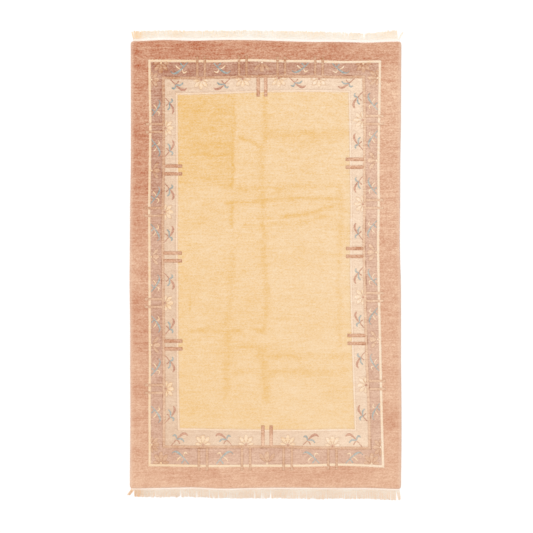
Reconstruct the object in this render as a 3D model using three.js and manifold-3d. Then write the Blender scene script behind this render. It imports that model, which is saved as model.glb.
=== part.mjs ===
// Tibetan rug: hand-knotted wool pile on a cotton warp, lying flat, with a flat-woven band and warp
// fringe at both ends. Millimetres, +X across the rug, +Y along it, +Z up out of the pile, origin on
// the floor at the centre of the whole rug.
import * as THREE from "three";
import { mergeVertices } from "three/addons/utils/BufferGeometryUtils.js";
import Module from "manifold-3d";

const wasm = await Module();
wasm.setup();

// Driving dimensions of the knotted piece
const PILE_WIDTH = 1803;
const PILE_LENGTH = 2982;
const THICKNESS = 14;
const FOUNDATION = 3.2;
const CORNER_RADIUS = 18;
const GAP = 0.3;

// Profile of the pile's rim, from the floor up: how far each height lies inside the widest line
const RIM = [
  { inset: 3, z: 0 },
  { inset: 3, z: FOUNDATION },
  { inset: 1, z: 4.6 },
  { inset: 0, z: 8 },
  { inset: 3.5, z: 12 },
  { inset: 9, z: THICKNESS },
];

// Stripes of the border and the grooves that are carved along both their edges
const GUARD_WIDTH = 17;
const RIDGE_WIDTH = 19;
const LINE_WIDTH = 13;
const GROOVE_HALF = 3;
const GROOVE_DEPTH = 2.4;
const BAR_GROOVE_DEPTH = 2;
const GROOVE_OVERRUN = 0.3;

// Pairs of bars that cross the border: outer ones from the ridge to the rust band, inner ones from
// the ridge to the field
const OUTER_BAR = { width: 15, reach: 24 };
const INNER_BAR = { width: 23, reach: 27 };

// End bands and fringe
const BAND_THICKNESS = 2.8;
const LOCKS = 150;
const LOCK_FILL = 0.9;
const LOCK_TIP_FILL = 0.7;
const LOCK_TOP = 0.72;
const LOCK_TIP_HEIGHT = 1.8;
const RAGGED = 4;
const LOOSENESS = 0.8;

// Long sides, a row for each station at equal steps from the top corner to the bottom one, with SIDE_SPAN
// from the first to the last. edge: how far the rim stands outside its nominal line. guard, ridge and
// line: depth, from the nominal line, of the pale outer stripe's middle, of the tan stripe's inner edge
// and of the pale inner line's middle.
const SIDE_SPAN = 2940;
const LEFT_ROWS = [
  { edge: -3, guard: 127, ridge: 224, line: 307 },
  { edge: -4, guard: 129, ridge: 229, line: 308 },
  { edge: -4, guard: 133, ridge: 231, line: 310 },
  { edge: -3, guard: 130, ridge: 231, line: 312 },
  { edge: 1, guard: 126, ridge: 227, line: 311 },
  { edge: 3, guard: 127, ridge: 226, line: 309 },
  { edge: 5, guard: 128, ridge: 228, line: 313 },
  { edge: 1, guard: 129, ridge: 231, line: 313 },
  { edge: 1, guard: 130, ridge: 233, line: 315 },
  { edge: 0, guard: 128, ridge: 234, line: 319 },
  { edge: 1, guard: 129, ridge: 233, line: 324 },
  { edge: 3, guard: 128, ridge: 232, line: 327 },
];
const RIGHT_ROWS = [
  { edge: 3, guard: 138, ridge: 257, line: 346 },
  { edge: 1, guard: 141, ridge: 255, line: 343 },
  { edge: 0, guard: 145, ridge: 249, line: 337 },
  { edge: -4, guard: 149, ridge: 252, line: 333 },
  { edge: -5, guard: 147, ridge: 250, line: 329 },
  { edge: -7, guard: 151, ridge: 255, line: 331 },
  { edge: 0, guard: 147, ridge: 249, line: 330 },
  { edge: 1, guard: 141, ridge: 243, line: 324 },
  { edge: 1, guard: 135, ridge: 234, line: 315 },
  { edge: 4, guard: 129, ridge: 223, line: 306 },
  { edge: 4, guard: 122, ridge: 217, line: 297 },
  { edge: 1, guard: 115, ridge: 210, line: 289 },
];

// Ends, a row for each station at equal steps from left to right. tip: how far the fringe reaches
// beyond the nominal line.
const END_SPAN = 1740;
const TOP_ROWS = [
  { edge: -3, guard: 133, ridge: 255, line: 354, tip: 65 },
  { edge: 6, guard: 133, ridge: 256, line: 354, tip: 69 },
  { edge: 1, guard: 135, ridge: 257, line: 352, tip: 67 },
  { edge: 6, guard: 135, ridge: 253, line: 347, tip: 68 },
  { edge: 5, guard: 129, ridge: 247, line: 339, tip: 70 },
  { edge: -1, guard: 135, ridge: 245, line: 335, tip: 67 },
  { edge: -7, guard: 135, ridge: 247, line: 333, tip: 64 },
  { edge: -7, guard: 141, ridge: 251, line: 336, tip: 56 },
  { edge: -12, guard: 139, ridge: 249, line: 339, tip: 53 },
  { edge: -5, guard: 137, ridge: 249, line: 341, tip: 71 },
];
const BOTTOM_ROWS = [
  { edge: 1, guard: 153, ridge: 286, line: 394, tip: 59 },
  { edge: -2, guard: 152, ridge: 285, line: 393, tip: 61 },
  { edge: -5, guard: 148, ridge: 283, line: 391, tip: 61 },
  { edge: 3, guard: 147, ridge: 283, line: 387, tip: 68 },
  { edge: -1, guard: 149, ridge: 285, line: 384, tip: 68 },
  { edge: -3, guard: 149, ridge: 285, line: 383, tip: 69 },
  { edge: -2, guard: 150, ridge: 278, line: 383, tip: 73 },
  { edge: -1, guard: 156, ridge: 276, line: 387, tip: 73 },
  { edge: -1, guard: 150, ridge: 275, line: 385, tip: 75 },
  { edge: 5, guard: 141, ridge: 269, line: 382, tip: 81 },
];

// The four sides. place puts a point that lies along a side, at a depth from its nominal line, on the
// rug. outerBars and innerBars are the middles of the pairs of bars, and halfPitch is how far each bar of a
// pair stands from that middle.
const HALF_WIDTH = PILE_WIDTH / 2;
const HALF_LENGTH = PILE_LENGTH / 2;
const SIDES = {
  left: {
    rows: LEFT_ROWS,
    start: SIDE_SPAN / 2,
    step: -SIDE_SPAN / (LEFT_ROWS.length - 1),
    place: (along, depth) => [-HALF_WIDTH + depth, along],
    outerBars: [910, 350, -257, -830],
    innerBars: [630, 50, -537],
    halfPitch: 26,
  },
  right: {
    rows: RIGHT_ROWS,
    start: SIDE_SPAN / 2,
    step: -SIDE_SPAN / (RIGHT_ROWS.length - 1),
    place: (along, depth) => [HALF_WIDTH - depth, along],
    outerBars: [963, 403, -217, -804],
    innerBars: [675, 80, -500],
    halfPitch: 26.5,
  },
  top: {
    rows: TOP_ROWS,
    start: -END_SPAN / 2,
    step: END_SPAN / (TOP_ROWS.length - 1),
    place: (along, depth) => [along, HALF_LENGTH - depth],
    outerBars: [-430, -152, 105, 356],
    innerBars: [-24],
    halfPitch: 25,
  },
  bottom: {
    rows: BOTTOM_ROWS,
    start: -END_SPAN / 2,
    step: END_SPAN / (BOTTOM_ROWS.length - 1),
    place: (along, depth) => [along, -HALF_LENGTH + depth],
    outerBars: [-417, -130, 148, 446],
    innerBars: [10],
    halfPitch: 27.5,
  },
};

// Where the fringe parts: at, the place along the end; left and right, how far the tips on that side
// of the split lean away from it, less than nothing for tips that lean towards it; reach, how far along
// the end the lean dies out
const TOP_SPLITS = [
  { at: -901, left: 0, right: -24, reach: 35 },
  { at: 60, left: 2, right: 3, reach: 30 },
  { at: 556, left: 3, right: 3, reach: 24 },
  { at: 663, left: 6, right: 5, reach: 30 },
  { at: 884, left: 6, right: 36, reach: 26 },
];
const BOTTOM_SPLITS = [
  { at: -872, left: 26, right: 0, reach: 400 },
  { at: -866, left: 0, right: 3, reach: 30 },
  { at: -568, left: 4, right: 3, reach: 26 },
  { at: -514, left: 2, right: 3, reach: 22 },
  { at: -462, left: 4, right: 3, reach: 26 },
  { at: -372, left: 3, right: 2, reach: 24 },
  { at: -318, left: 2, right: 3, reach: 16 },
  { at: -78, left: 2, right: 3, reach: 26 },
  { at: -28, left: 3, right: 3, reach: 24 },
  { at: 33, left: 3, right: 4, reach: 24 },
  { at: 182, left: 2, right: 2, reach: 14 },
  { at: 220, left: 4, right: 5, reach: 20 },
  { at: 272, left: 2, right: 3, reach: 24 },
  { at: 366, left: 3, right: 2, reach: 26 },
  { at: 406, left: 3, right: 3, reach: 24 },
  { at: 516, left: 2, right: 3, reach: 26 },
  { at: 610, left: 3, right: 2, reach: 26 },
  { at: 840, left: 3, right: 3, reach: 24 },
  { at: 868, left: 1, right: 22, reach: 26 },
];

// Ends. band: width of the flat-woven band beyond the rim. leftInset and rightInset: how far the band
// stops short of the pile's corners.
const ENDS = {
  top: { name: "top", band: 21, leftInset: 10, rightInset: 6, splits: TOP_SPLITS },
  bottom: { name: "bottom", band: 14, leftInset: 1, rightInset: 4, splits: BOTTOM_SPLITS },
};

// Value of a column at a place along a side, on a smooth curve through its rows
function columnAt(side, column, along) {
  const last = side.rows.length - 1;
  const place = THREE.MathUtils.clamp((along - side.start) / side.step, 0, last);
  const row = Math.min(Math.floor(place), last - 1);
  const t = place - row;
  const pick = (index) => side.rows[THREE.MathUtils.clamp(index, 0, last)][column];
  const [a, b, c, d] = [pick(row - 1), pick(row), pick(row + 1), pick(row + 2)];
  const slope = c - a;
  const bend = 2 * a - 5 * b + 4 * c - d;
  const twist = 3 * (b - c) + d - a;
  return b + 0.5 * t * (slope + t * (bend + t * twist));
}

// A line that runs round the rug at one column's depth, shifted inwards by shift. The rim's column
// counts outwards.
function lineDepth(side, column, shift, along) {
  const value = columnAt(side, column, along);
  return (column === "edge" ? -value : value) + shift;
}

function linePoint(sideName, column, shift, along) {
  const side = SIDES[sideName];
  return side.place(along, lineDepth(side, column, shift, along));
}

// Corner where the lines of a long side and an end meet
function lineCorner(sideName, endName, column, shift) {
  let [x, y] = [0, 0];
  for (let pass = 0; pass < 4; pass += 1) {
    x = linePoint(sideName, column, shift, y)[0];
    y = linePoint(endName, column, shift, x)[1];
  }
  return [x, y];
}

// How finely a line follows its rows, and the radius of its corners
const RIM_RUN = { radius: CORNER_RADIUS, stepsPerRow: 2 };
const GROOVE_RUN = { radius: 0, stepsPerRow: 1 };

// Closed loop of points round the rug, anticlockwise seen from above, with corners rounded by radius
const CORNER_STEPS = 4;
function ringLoop(column, shift, { radius, stepsPerRow }) {
  const corner = {
    topLeft: lineCorner("left", "top", column, shift),
    bottomLeft: lineCorner("left", "bottom", column, shift),
    bottomRight: lineCorner("right", "bottom", column, shift),
    topRight: lineCorner("right", "top", column, shift),
  };
  const loop = [];
  const addRun = (sideName, from, to) => {
    const steps = (SIDES[sideName].rows.length - 1) * stepsPerRow;
    const axis = sideName === "left" || sideName === "right" ? 1 : 0;
    const toward = Math.sign(to[axis] - from[axis]);
    const first = from[axis] + toward * radius;
    const final = to[axis] - toward * radius;
    for (let step = 0; step <= steps; step += 1) {
      const along = THREE.MathUtils.lerp(first, final, step / steps);
      loop.push(linePoint(sideName, column, shift, along));
    }
  };
  const addCorner = (point, nextPoint) => {
    const before = loop[loop.length - 1];
    for (let step = 1; step < CORNER_STEPS; step += 1) {
      const t = step / CORNER_STEPS;
      const [a, b, c] = [(1 - t) ** 2, 2 * t * (1 - t), t ** 2];
      loop.push([0, 1].map((axis) => a * before[axis] + b * point[axis] + c * nextPoint[axis]));
    }
  };
  const starts = {
    bottom: linePoint("bottom", column, shift, corner.bottomLeft[0] + radius),
    right: linePoint("right", column, shift, corner.bottomRight[1] + radius),
    top: linePoint("top", column, shift, corner.topRight[0] - radius),
    left: linePoint("left", column, shift, corner.topLeft[1] - radius),
  };
  const rounded = radius > 0;
  addRun("left", corner.topLeft, corner.bottomLeft);
  if (rounded) addCorner(corner.bottomLeft, starts.bottom);
  addRun("bottom", corner.bottomLeft, corner.bottomRight);
  if (rounded) addCorner(corner.bottomRight, starts.right);
  addRun("right", corner.bottomRight, corner.topRight);
  if (rounded) addCorner(corner.topRight, starts.top);
  addRun("top", corner.topRight, corner.topLeft);
  if (rounded) addCorner(corner.topLeft, starts.left);
  return rounded ? loop : loop.filter((point, index) => !samePoint(point, loop[(index + 1) % loop.length]));
}

function samePoint(a, b) {
  return Math.hypot(a[0] - b[0], a[1] - b[1]) < 0.05;
}

// Growing mesh with vertices as [x, y, z]
class Shell {
  constructor() {
    this.points = [];
    this.faces = [];
  }

  addLoop(loop, z) {
    const first = this.points.length;
    loop.forEach(([x, y]) => this.points.push([x, y, z]));
    return loop.map((point, index) => first + index);
  }

  // Wall between two lines of as many points, closed into a loop or open
  join(lower, upper, closed) {
    const spans = closed ? lower.length : lower.length - 1;
    for (let index = 0; index < spans; index += 1) {
      const next = (index + 1) % lower.length;
      this.quad(lower[index], lower[next], upper[next], upper[index]);
    }
  }

  quad(a, b, c, d) {
    this.faces.push([a, b, c], [a, c, d]);
  }

  // Flat lid over a loop of vertices, facing up or down
  lid(loop, up) {
    const outline = loop.map((index) => new THREE.Vector2(this.points[index][0], this.points[index][1]));
    THREE.ShapeUtils.triangulateShape(outline, []).forEach((corners) => {
      const facesUp = THREE.ShapeUtils.area(corners.map((corner) => outline[corner])) > 0;
      const face = corners.map((corner) => loop[corner]);
      this.faces.push(facesUp === up ? face : face.reverse());
    });
  }

  geometry() {
    const geometry = new THREE.BufferGeometry();
    geometry.setAttribute("position", new THREE.Float32BufferAttribute(this.points.flat(), 3));
    geometry.setIndex(this.faces.flat());
    return mergeVertices(geometry, 1e-4);
  }

  solid() {
    const geometry = this.geometry();
    return new wasm.Manifold(new wasm.Mesh({
      numProp: 3,
      vertProperties: new Float32Array(geometry.attributes.position.array),
      triVerts: new Uint32Array(geometry.index.array),
    }));
  }
}

function solidGeometry(solid) {
  const mesh = solid.getMesh();
  const geometry = new THREE.BufferGeometry();
  geometry.setAttribute("position", new THREE.BufferAttribute(mesh.vertProperties, 3));
  geometry.setIndex(new THREE.BufferAttribute(mesh.triVerts, 1));
  return geometry;
}

// The knotted piece before carving: foundation, overhanging pile and rounded rim
function pileBlank() {
  const shell = new Shell();
  const loops = RIM.map(({ inset, z }) => shell.addLoop(ringLoop("edge", inset, RIM_RUN), z));
  loops.slice(1).forEach((loop, index) => shell.join(loops[index], loop, true));
  shell.lid(loops[0], false);
  shell.lid(loops[loops.length - 1], true);
  return shell.solid();
}

// Solid that cuts a V-shaped groove, from lines of as many points along its two lips and its bottom.
// The lips stand as far above the pile as the groove goes down, so they lie twice its half width out.
function grooveCutter(lineAt, depth, closed) {
  const shell = new Shell();
  const outer = shell.addLoop(lineAt(-2 * GROOVE_HALF), THICKNESS + depth);
  const bottom = shell.addLoop(lineAt(0), THICKNESS - depth);
  const inner = shell.addLoop(lineAt(2 * GROOVE_HALF), THICKNESS + depth);
  shell.join(bottom, outer, closed);
  shell.join(inner, bottom, closed);
  shell.join(outer, inner, closed);
  if (!closed) {
    const last = outer.length - 1;
    shell.faces.push([outer[0], inner[0], bottom[0]], [outer[last], bottom[last], inner[last]]);
  }
  return shell.solid();
}

function ringGroove(column, shift) {
  return grooveCutter((offset) => ringLoop(column, shift + offset, GROOVE_RUN), GROOVE_DEPTH, true);
}

// Groove round one bar: down one side of it, across its free end and back up the other side. free and
// held are the depths of its two ends.
function barGroove(side, middle, width, free, held) {
  const inward = Math.sign(held - free);
  const end = held + inward * GROOVE_OVERRUN;
  const lineAt = (offset) => {
    const half = width / 2 - offset;
    const tip = free + inward * offset;
    const corners = [[middle - half, end], [middle - half, tip], [middle + half, tip], [middle + half, end]];
    return corners.map(([along, depth]) => side.place(along, depth));
  };
  const turn = THREE.ShapeUtils.area(lineAt(0).map(([x, y]) => new THREE.Vector2(x, y)));
  const ordered = (offset) => (turn > 0 ? lineAt(offset) : lineAt(offset).reverse());
  return grooveCutter(ordered, BAR_GROOVE_DEPTH, false);
}

function sideBarGrooves(side) {
  const pairs = (middles, cut) => middles.flatMap((middle) => [
    cut(middle - side.halfPitch),
    cut(middle + side.halfPitch),
  ]);
  const outer = pairs(side.outerBars, (middle) => {
    const free = columnAt(side, "guard", middle) - GUARD_WIDTH / 2 - OUTER_BAR.reach;
    const held = columnAt(side, "ridge", middle) - RIDGE_WIDTH;
    return barGroove(side, middle, OUTER_BAR.width, free, held);
  });
  const inner = pairs(side.innerBars, (middle) => {
    const free = columnAt(side, "line", middle) + LINE_WIDTH / 2 + INNER_BAR.reach;
    const held = columnAt(side, "ridge", middle);
    return barGroove(side, middle, INNER_BAR.width, free, held);
  });
  return [...outer, ...inner];
}

function rugBodyGeometry() {
  const stripeGrooves = [
    ringGroove("guard", -GUARD_WIDTH / 2),
    ringGroove("guard", GUARD_WIDTH / 2),
    ringGroove("ridge", -RIDGE_WIDTH),
    ringGroove("ridge", 0),
    ringGroove("line", -LINE_WIDTH / 2),
    ringGroove("line", LINE_WIDTH / 2),
  ];
  const barGrooves = Object.values(SIDES).flatMap(sideBarGrooves);
  const grooves = wasm.Manifold.union([...stripeGrooves, ...barGrooves]);
  return solidGeometry(pileBlank().subtract(grooves));
}

// Steady scatter between -1 and 1
function scatter(index, salt) {
  const wave = Math.sin(index * 12.9898 + salt * 78.233) * 43758.5453;
  return 2 * (wave - Math.floor(wave)) - 1;
}

// How far a lock's tip leans sideways, away from each split
function tipLean(end, x) {
  return end.splits.reduce((sum, split) => {
    const away = x - split.at;
    const shift = away < 0 ? -split.left : split.right;
    return sum + shift * Math.exp(-Math.abs(away) / split.reach);
  }, 0);
}

// End band with its fringe: a strip along the rim whose outer edge carries the roots of the locks,
// which lie level on the floor
function fringeGeometry(end, salt) {
  const shell = new Shell();
  const side = SIDES[end.name];
  const cornerLeft = lineCorner("left", end.name, "edge", RIM[0].inset)[0];
  const cornerRight = lineCorner("right", end.name, "edge", RIM[0].inset)[0];
  const left = cornerLeft + end.leftInset;
  const right = cornerRight - end.rightInset;
  const pitch = (right - left) / LOCKS;
  const rimAt = (x) => columnAt(side, "edge", x);
  const placed = (x, beyond) => side.place(x, -beyond);

  // The inner edge has the rim's own stations, so that the two follow each other at one gap
  const rimSteps = (side.rows.length - 1) * RIM_RUN.stepsPerRow;
  const stations = [left];
  for (let step = 0; step <= rimSteps; step += 1) {
    const share = step / rimSteps;
    stations.push(THREE.MathUtils.lerp(cornerLeft + CORNER_RADIUS, cornerRight - CORNER_RADIUS, share));
  }
  stations.push(right);
  const innerEdge = stations.map((x) => placed(x, rimAt(x) - RIM[0].inset + GAP));
  const outerEdge = [];
  const locks = [];
  for (let lock = 0; lock < LOCKS; lock += 1) {
    const middle = left + (lock + 0.5) * pitch;
    const half = (LOCK_FILL * pitch) / 2;
    const root = rimAt(middle) + end.band;
    const length = columnAt(side, "tip", middle) + RAGGED * scatter(lock, salt) - root;
    const lean = tipLean(end, middle) + LOOSENESS * scatter(lock, salt + 5);
    const tip = root + Math.sqrt(length ** 2 - lean ** 2);
    locks.push({ middle, lean, tip, first: outerEdge.length });
    outerEdge.push(placed(middle - half, root), placed(middle + half, root));
  }
  const outline = [...innerEdge, ...outerEdge.slice().reverse()];
  const floor = shell.addLoop(outline, 0);
  const top = shell.addLoop(outline, BAND_THICKNESS);
  shell.lid(floor, false);
  shell.lid(top, true);

  const anticlockwise = end.name === "top";
  const wall = (a, b) => {
    if (anticlockwise) shell.quad(floor[a], floor[b], top[b], top[a]);
    else shell.quad(floor[b], floor[a], top[a], top[b]);
  };
  const outerIndex = (index) => outline.length - 1 - index;
  const carriesLock = new Set(locks.map(({ first }) => outerIndex(first + 1)));
  outline.forEach((point, index) => {
    if (!carriesLock.has(index)) wall(index, (index + 1) % outline.length);
  });

  locks.forEach(({ middle, lean, tip, first }) => {
    const x = middle + lean;
    const half = (LOCK_TIP_FILL * pitch) / 2;
    const topHalf = half * LOCK_TOP;
    const rootPairs = [floor, top].map((layer) => [layer[outerIndex(first)], layer[outerIndex(first + 1)]]);
    const tipPairs = [
      shell.addLoop([placed(x - half, tip), placed(x + half, tip)], 0),
      shell.addLoop([placed(x - topHalf, tip), placed(x + topHalf, tip)], LOCK_TIP_HEIGHT),
    ];
    addLock(shell, rootPairs, tipPairs, anticlockwise);
  });
  return shell.geometry();
}

// Faces of a lock between its root and its tip, each a floor pair and a top pair from left to right
function addLock(shell, from, to, anticlockwise) {
  const [[fromLeft, fromRight], [fromTopLeft, fromTopRight]] = from;
  const [[toLeft, toRight], [toTopLeft, toTopRight]] = to;
  const quads = [
    [fromTopLeft, fromTopRight, toTopRight, toTopLeft],
    [fromRight, fromLeft, toLeft, toRight],
    [fromLeft, fromTopLeft, toTopLeft, toLeft],
    [fromTopRight, fromRight, toRight, toTopRight],
    [toRight, toLeft, toTopLeft, toTopRight],
  ];
  quads.forEach((corners) => shell.quad(...(anticlockwise ? corners : corners.reverse())));
}

const pileWool = new THREE.MeshStandardMaterial({ color: 0xe3bd84, roughness: 0.95, metalness: 0 });
const warpCotton = new THREE.MeshStandardMaterial({ color: 0xf7e8d6, roughness: 0.9, metalness: 0 });

function piece(name, geometry, material) {
  const mesh = new THREE.Mesh(geometry, material);
  mesh.name = name;
  return mesh;
}

const rug = new THREE.Group();
rug.add(
  piece("rug_body", rugBodyGeometry(), pileWool),
  piece("fringe_top", fringeGeometry(ENDS.top, 1), warpCotton),
  piece("fringe_bottom", fringeGeometry(ENDS.bottom, 2), warpCotton),
);

// The origin goes to the middle of the whole rug, fringe included
const whole = new THREE.Box3().setFromObject(rug);
const middle = whole.getCenter(new THREE.Vector3());
rug.position.set(-middle.x, -middle.y, 0);

export default rug;
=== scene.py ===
# %% [markdown]
# # A hand-knotted rug, seen from above
# The rug is a thick cut-pile carpet of wool, knotted row by row on a cotton warp. Its border stripes are
# carved, the outline of each motif is clipped in, and the warp ends hang out as fringe at both ends.
# This lesson dresses a imported model of that rug. The model fixes every size, so the first step loads it
# and keeps its parts, whose box later places what is made around it.

# %% Load the frame
import math

import bpy
import numpy as np
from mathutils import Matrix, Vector, noise
from mathutils.geometry import delaunay_2d_cdt


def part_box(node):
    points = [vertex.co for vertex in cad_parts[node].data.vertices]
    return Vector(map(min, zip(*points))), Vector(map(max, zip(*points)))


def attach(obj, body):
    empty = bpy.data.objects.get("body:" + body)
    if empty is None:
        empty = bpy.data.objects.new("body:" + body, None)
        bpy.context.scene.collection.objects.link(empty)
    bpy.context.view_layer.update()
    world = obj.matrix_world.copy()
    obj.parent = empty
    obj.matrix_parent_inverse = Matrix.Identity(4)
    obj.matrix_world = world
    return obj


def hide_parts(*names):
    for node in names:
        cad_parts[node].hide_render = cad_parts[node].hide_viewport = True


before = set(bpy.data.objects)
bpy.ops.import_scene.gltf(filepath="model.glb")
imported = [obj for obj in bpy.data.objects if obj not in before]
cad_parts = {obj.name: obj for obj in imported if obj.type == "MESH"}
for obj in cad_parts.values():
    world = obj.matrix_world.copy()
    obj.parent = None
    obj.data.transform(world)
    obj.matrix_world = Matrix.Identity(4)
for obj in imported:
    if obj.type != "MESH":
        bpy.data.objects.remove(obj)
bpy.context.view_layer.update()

print("nodes", sorted(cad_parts))

# %% [markdown]
# ## One small language for node trees
# Materials and Geometry Nodes are graphs. Written node by node they are hard to read, so two small
# classes carry the whole lesson. A Wire is the end of a link and can be added or multiplied like a
# number. A Tree makes any node from its type, its settings and the values of its sockets.

# %% Wire
class Wire:
    """An output socket that takes part in sums and products."""

    def __init__(self, tree, socket):
        self.tree = tree
        self.socket = socket

    def __add__(self, other):
        return self.tree.math("ADD", self, other)

    def __sub__(self, other):
        return self.tree.math("SUBTRACT", self, other)

    def __rsub__(self, other):
        return self.tree.math("SUBTRACT", other, self)

    def __mul__(self, other):
        return self.tree.math("MULTIPLY", self, other)

    __radd__ = __add__
    __rmul__ = __mul__

# %% Tree
class Tree:
    """A node tree of a material or of Geometry Nodes."""

    def __init__(self, node_tree):
        self.graph = node_tree

    def pick(self, sockets, key):
        """A socket by its number, its identifier or its name."""
        if isinstance(key, int):
            return sockets[key]
        named = [s for s in sockets if s.identifier == key] or [s for s in sockets if s.name == key]
        return named[0]

    def node(self, kind, settings=None, inputs=None, out=0):
        """Makes a node. Its settings come first, because they decide which sockets it has."""
        node = self.graph.nodes.new(kind)
        for name, value in (settings or {}).items():
            setattr(node, name, value)
        for key, value in (inputs or {}).items():
            socket = self.pick(node.inputs, key)
            if isinstance(value, Wire):
                value = [value]
            if isinstance(value, list):
                for wire in value:
                    self.graph.links.new(wire.socket, socket)
            else:
                socket.default_value = value
        return Wire(self, self.pick(node.outputs, out)) if len(node.outputs) else node

    def math(self, operation, *values):
        return self.node("ShaderNodeMath", {"operation": operation}, dict(enumerate(values)))

    def vector_math(self, operation, *values):
        return self.node("ShaderNodeVectorMath", {"operation": operation}, dict(enumerate(values)))

    def vector(self, x=0.0, y=0.0, z=0.0):
        return self.node("ShaderNodeCombineXYZ", inputs={"X": x, "Y": y, "Z": z})

    def step(self, value, low, high):
        """A smooth ramp from 0 at low to 1 at high."""
        limits = {"Value": value, "From Min": low, "From Max": high}
        return self.node("ShaderNodeMapRange", {"interpolation_type": "SMOOTHSTEP"}, limits)

    def mix(self, share, first, second, blend="MIX"):
        """A colour between two others."""
        settings = {"data_type": "RGBA", "blend_type": blend, "clamp_factor": False}
        sockets = {"Factor_Float": share, "A_Color": first, "B_Color": second}
        return self.node("ShaderNodeMix", settings, sockets, out="Result_Color")

    def attribute(self, name):
        return self.node("ShaderNodeAttribute", {"attribute_name": name}, out="Fac")

    def split(self, vector):
        """The three parts of a vector."""
        return [self.node("ShaderNodeSeparateXYZ", inputs={0: vector}, out=axis) for axis in range(3)]


# %% [markdown]
# ## The four sides of the rug
# A knotted rug is never quite straight. The edge wanders by a few millimetres, and the border lines wander
# on their own. Each side gets a table with a row for each station along it: how far the rim stands out of
# its nominal line, and how deep from there the pale guard stripe, the tan ridge and the pale inner line
# run. A smooth curve through the rows gives the value anywhere. These are the same rows that shaped the
# frame's solids.

# %% Stations along the sides
MM = 0.001
PILE_WIDTH = 1.803
PILE_LENGTH = 2.982
SIDE_SPAN = 2.940
END_SPAN = 1.740
COLUMNS = {"edge": 0, "guard": 1, "ridge": 2, "line": 3, "tip": 4}

LEFT_ROWS = [
    (-3, 127, 224, 307), (-4, 129, 229, 308), (-4, 133, 231, 310), (-3, 130, 231, 312),
    (1, 126, 227, 311), (3, 127, 226, 309), (5, 128, 228, 313), (1, 129, 231, 313),
    (1, 130, 233, 315), (0, 128, 234, 319), (1, 129, 233, 324), (3, 128, 232, 327),
]
RIGHT_ROWS = [
    (3, 138, 257, 346), (1, 141, 255, 343), (0, 145, 249, 337), (-4, 149, 252, 333),
    (-5, 147, 250, 329), (-7, 151, 255, 331), (0, 147, 249, 330), (1, 141, 243, 324),
    (1, 135, 234, 315), (4, 129, 223, 306), (4, 122, 217, 297), (1, 115, 210, 289),
]
TOP_ROWS = [
    (-3, 133, 255, 354, 65), (6, 133, 256, 354, 69), (1, 135, 257, 352, 67), (6, 135, 253, 347, 68),
    (5, 129, 247, 339, 70), (-1, 135, 245, 335, 67), (-7, 135, 247, 333, 64), (-7, 141, 251, 336, 56),
    (-12, 139, 249, 339, 53), (-5, 137, 249, 341, 71),
]
BOTTOM_ROWS = [
    (1, 153, 286, 394, 59), (-2, 152, 285, 393, 61), (-5, 148, 283, 391, 61), (3, 147, 283, 387, 68),
    (-1, 149, 285, 384, 68), (-3, 149, 285, 383, 69), (-2, 150, 278, 383, 73), (-1, 156, 276, 387, 73),
    (-1, 150, 275, 385, 75), (5, 141, 269, 382, 81),
]

# %% A side of the rug
def between(a, b, c, d, t):
    """The smooth curve that runs from b at t = 0 to c at t = 1, with a before it and d after it."""
    return b + 0.5 * t * (c - a + t * (2 * a - 5 * b + 4 * c - d + t * (3 * (b - c) + d - a)))


class Side:
    """One side of the rug. along runs beside it, and depth is the distance in from its nominal line."""

    def __init__(self, inward, half, span, rows):
        self.inward = np.array(inward, float)
        self.run = np.abs(self.inward[::-1])
        self.half = half
        self.span = span
        self.rows = np.array(rows, float) * MM

    def locate(self, points):
        return points @ self.run, points @ self.inward + self.half

    def place(self, along, depth):
        return np.multiply.outer(along, self.run) + np.multiply.outer(depth - self.half, self.inward)

    def column(self, name, along):
        """The value of a column at a place, on a smooth curve through the rows."""
        last = len(self.rows) - 1
        place = np.clip((np.asarray(along) / self.span + 0.5) * last, 0, last)
        row = np.minimum(place.astype(int), last - 1)
        t = place - row
        near = [self.rows[np.clip(row + k, 0, last), COLUMNS[name]] for k in (-1, 0, 1, 2)]
        return between(*near, t)

    def depth(self, name, along, shift=0.0):
        """Depth of one of the lines. The rim's column counts outwards."""
        value = self.column(name, along)
        return (-value if name == "edge" else value) + shift

    def at(self, name, along, shift=0.0):
        return self.place(np.asarray(along), self.depth(name, along, shift))


SIDES = {
    "left": Side((1, 0), PILE_WIDTH / 2, SIDE_SPAN, LEFT_ROWS[::-1]),
    "right": Side((-1, 0), PILE_WIDTH / 2, SIDE_SPAN, RIGHT_ROWS[::-1]),
    "top": Side((0, -1), PILE_LENGTH / 2, END_SPAN, TOP_ROWS),
    "bottom": Side((0, 1), PILE_LENGTH / 2, END_SPAN, BOTTOM_ROWS),
}


def inside(points, name, shift=0.0):
    """How far points lie inside the line that runs round the rug, negative outside it."""
    gaps = []
    for side in SIDES.values():
        along, depth = side.locate(points)
        gaps.append(depth - side.depth(name, along, shift))
    return np.min(gaps, axis=0)


def from_flanks(points):
    """Distance inside the nearer long edge."""
    gaps = []
    for name in ("left", "right"):
        along, depth = SIDES[name].locate(points)
        gaps.append(depth - SIDES[name].depth("edge", along))
    return np.min(gaps, axis=0)


print("rim at the middle of each side", {n: float(s.column("edge", 0.0)) for n, s in SIDES.items()})

# %% [markdown]
# ## Lines that run right round
# The rim, both edges of each stripe and the lips of each carved groove are closed lines round the rug. One
# function makes them all: it finds the four corners, walks along the sides and, for the rim, rounds the
# corners. Every line gets as many points as the next one, so that two of them can be joined by faces.

# %% Closed lines round the rug
# side, and the sides that it starts and stops at
WALK = [
    ("left", "top", "bottom"), ("bottom", "left", "right"),
    ("right", "bottom", "top"), ("top", "right", "left"),
]
CORNER_STEPS = 5


def corner(long_side, end, name, shift):
    """Where the lines of a long side and an end meet."""
    x = y = 0.0
    for _ in range(4):
        x = SIDES[long_side].at(name, y, shift)[0]
        y = SIDES[end].at(name, x, shift)[1]
    return np.array([x, y])


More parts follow.
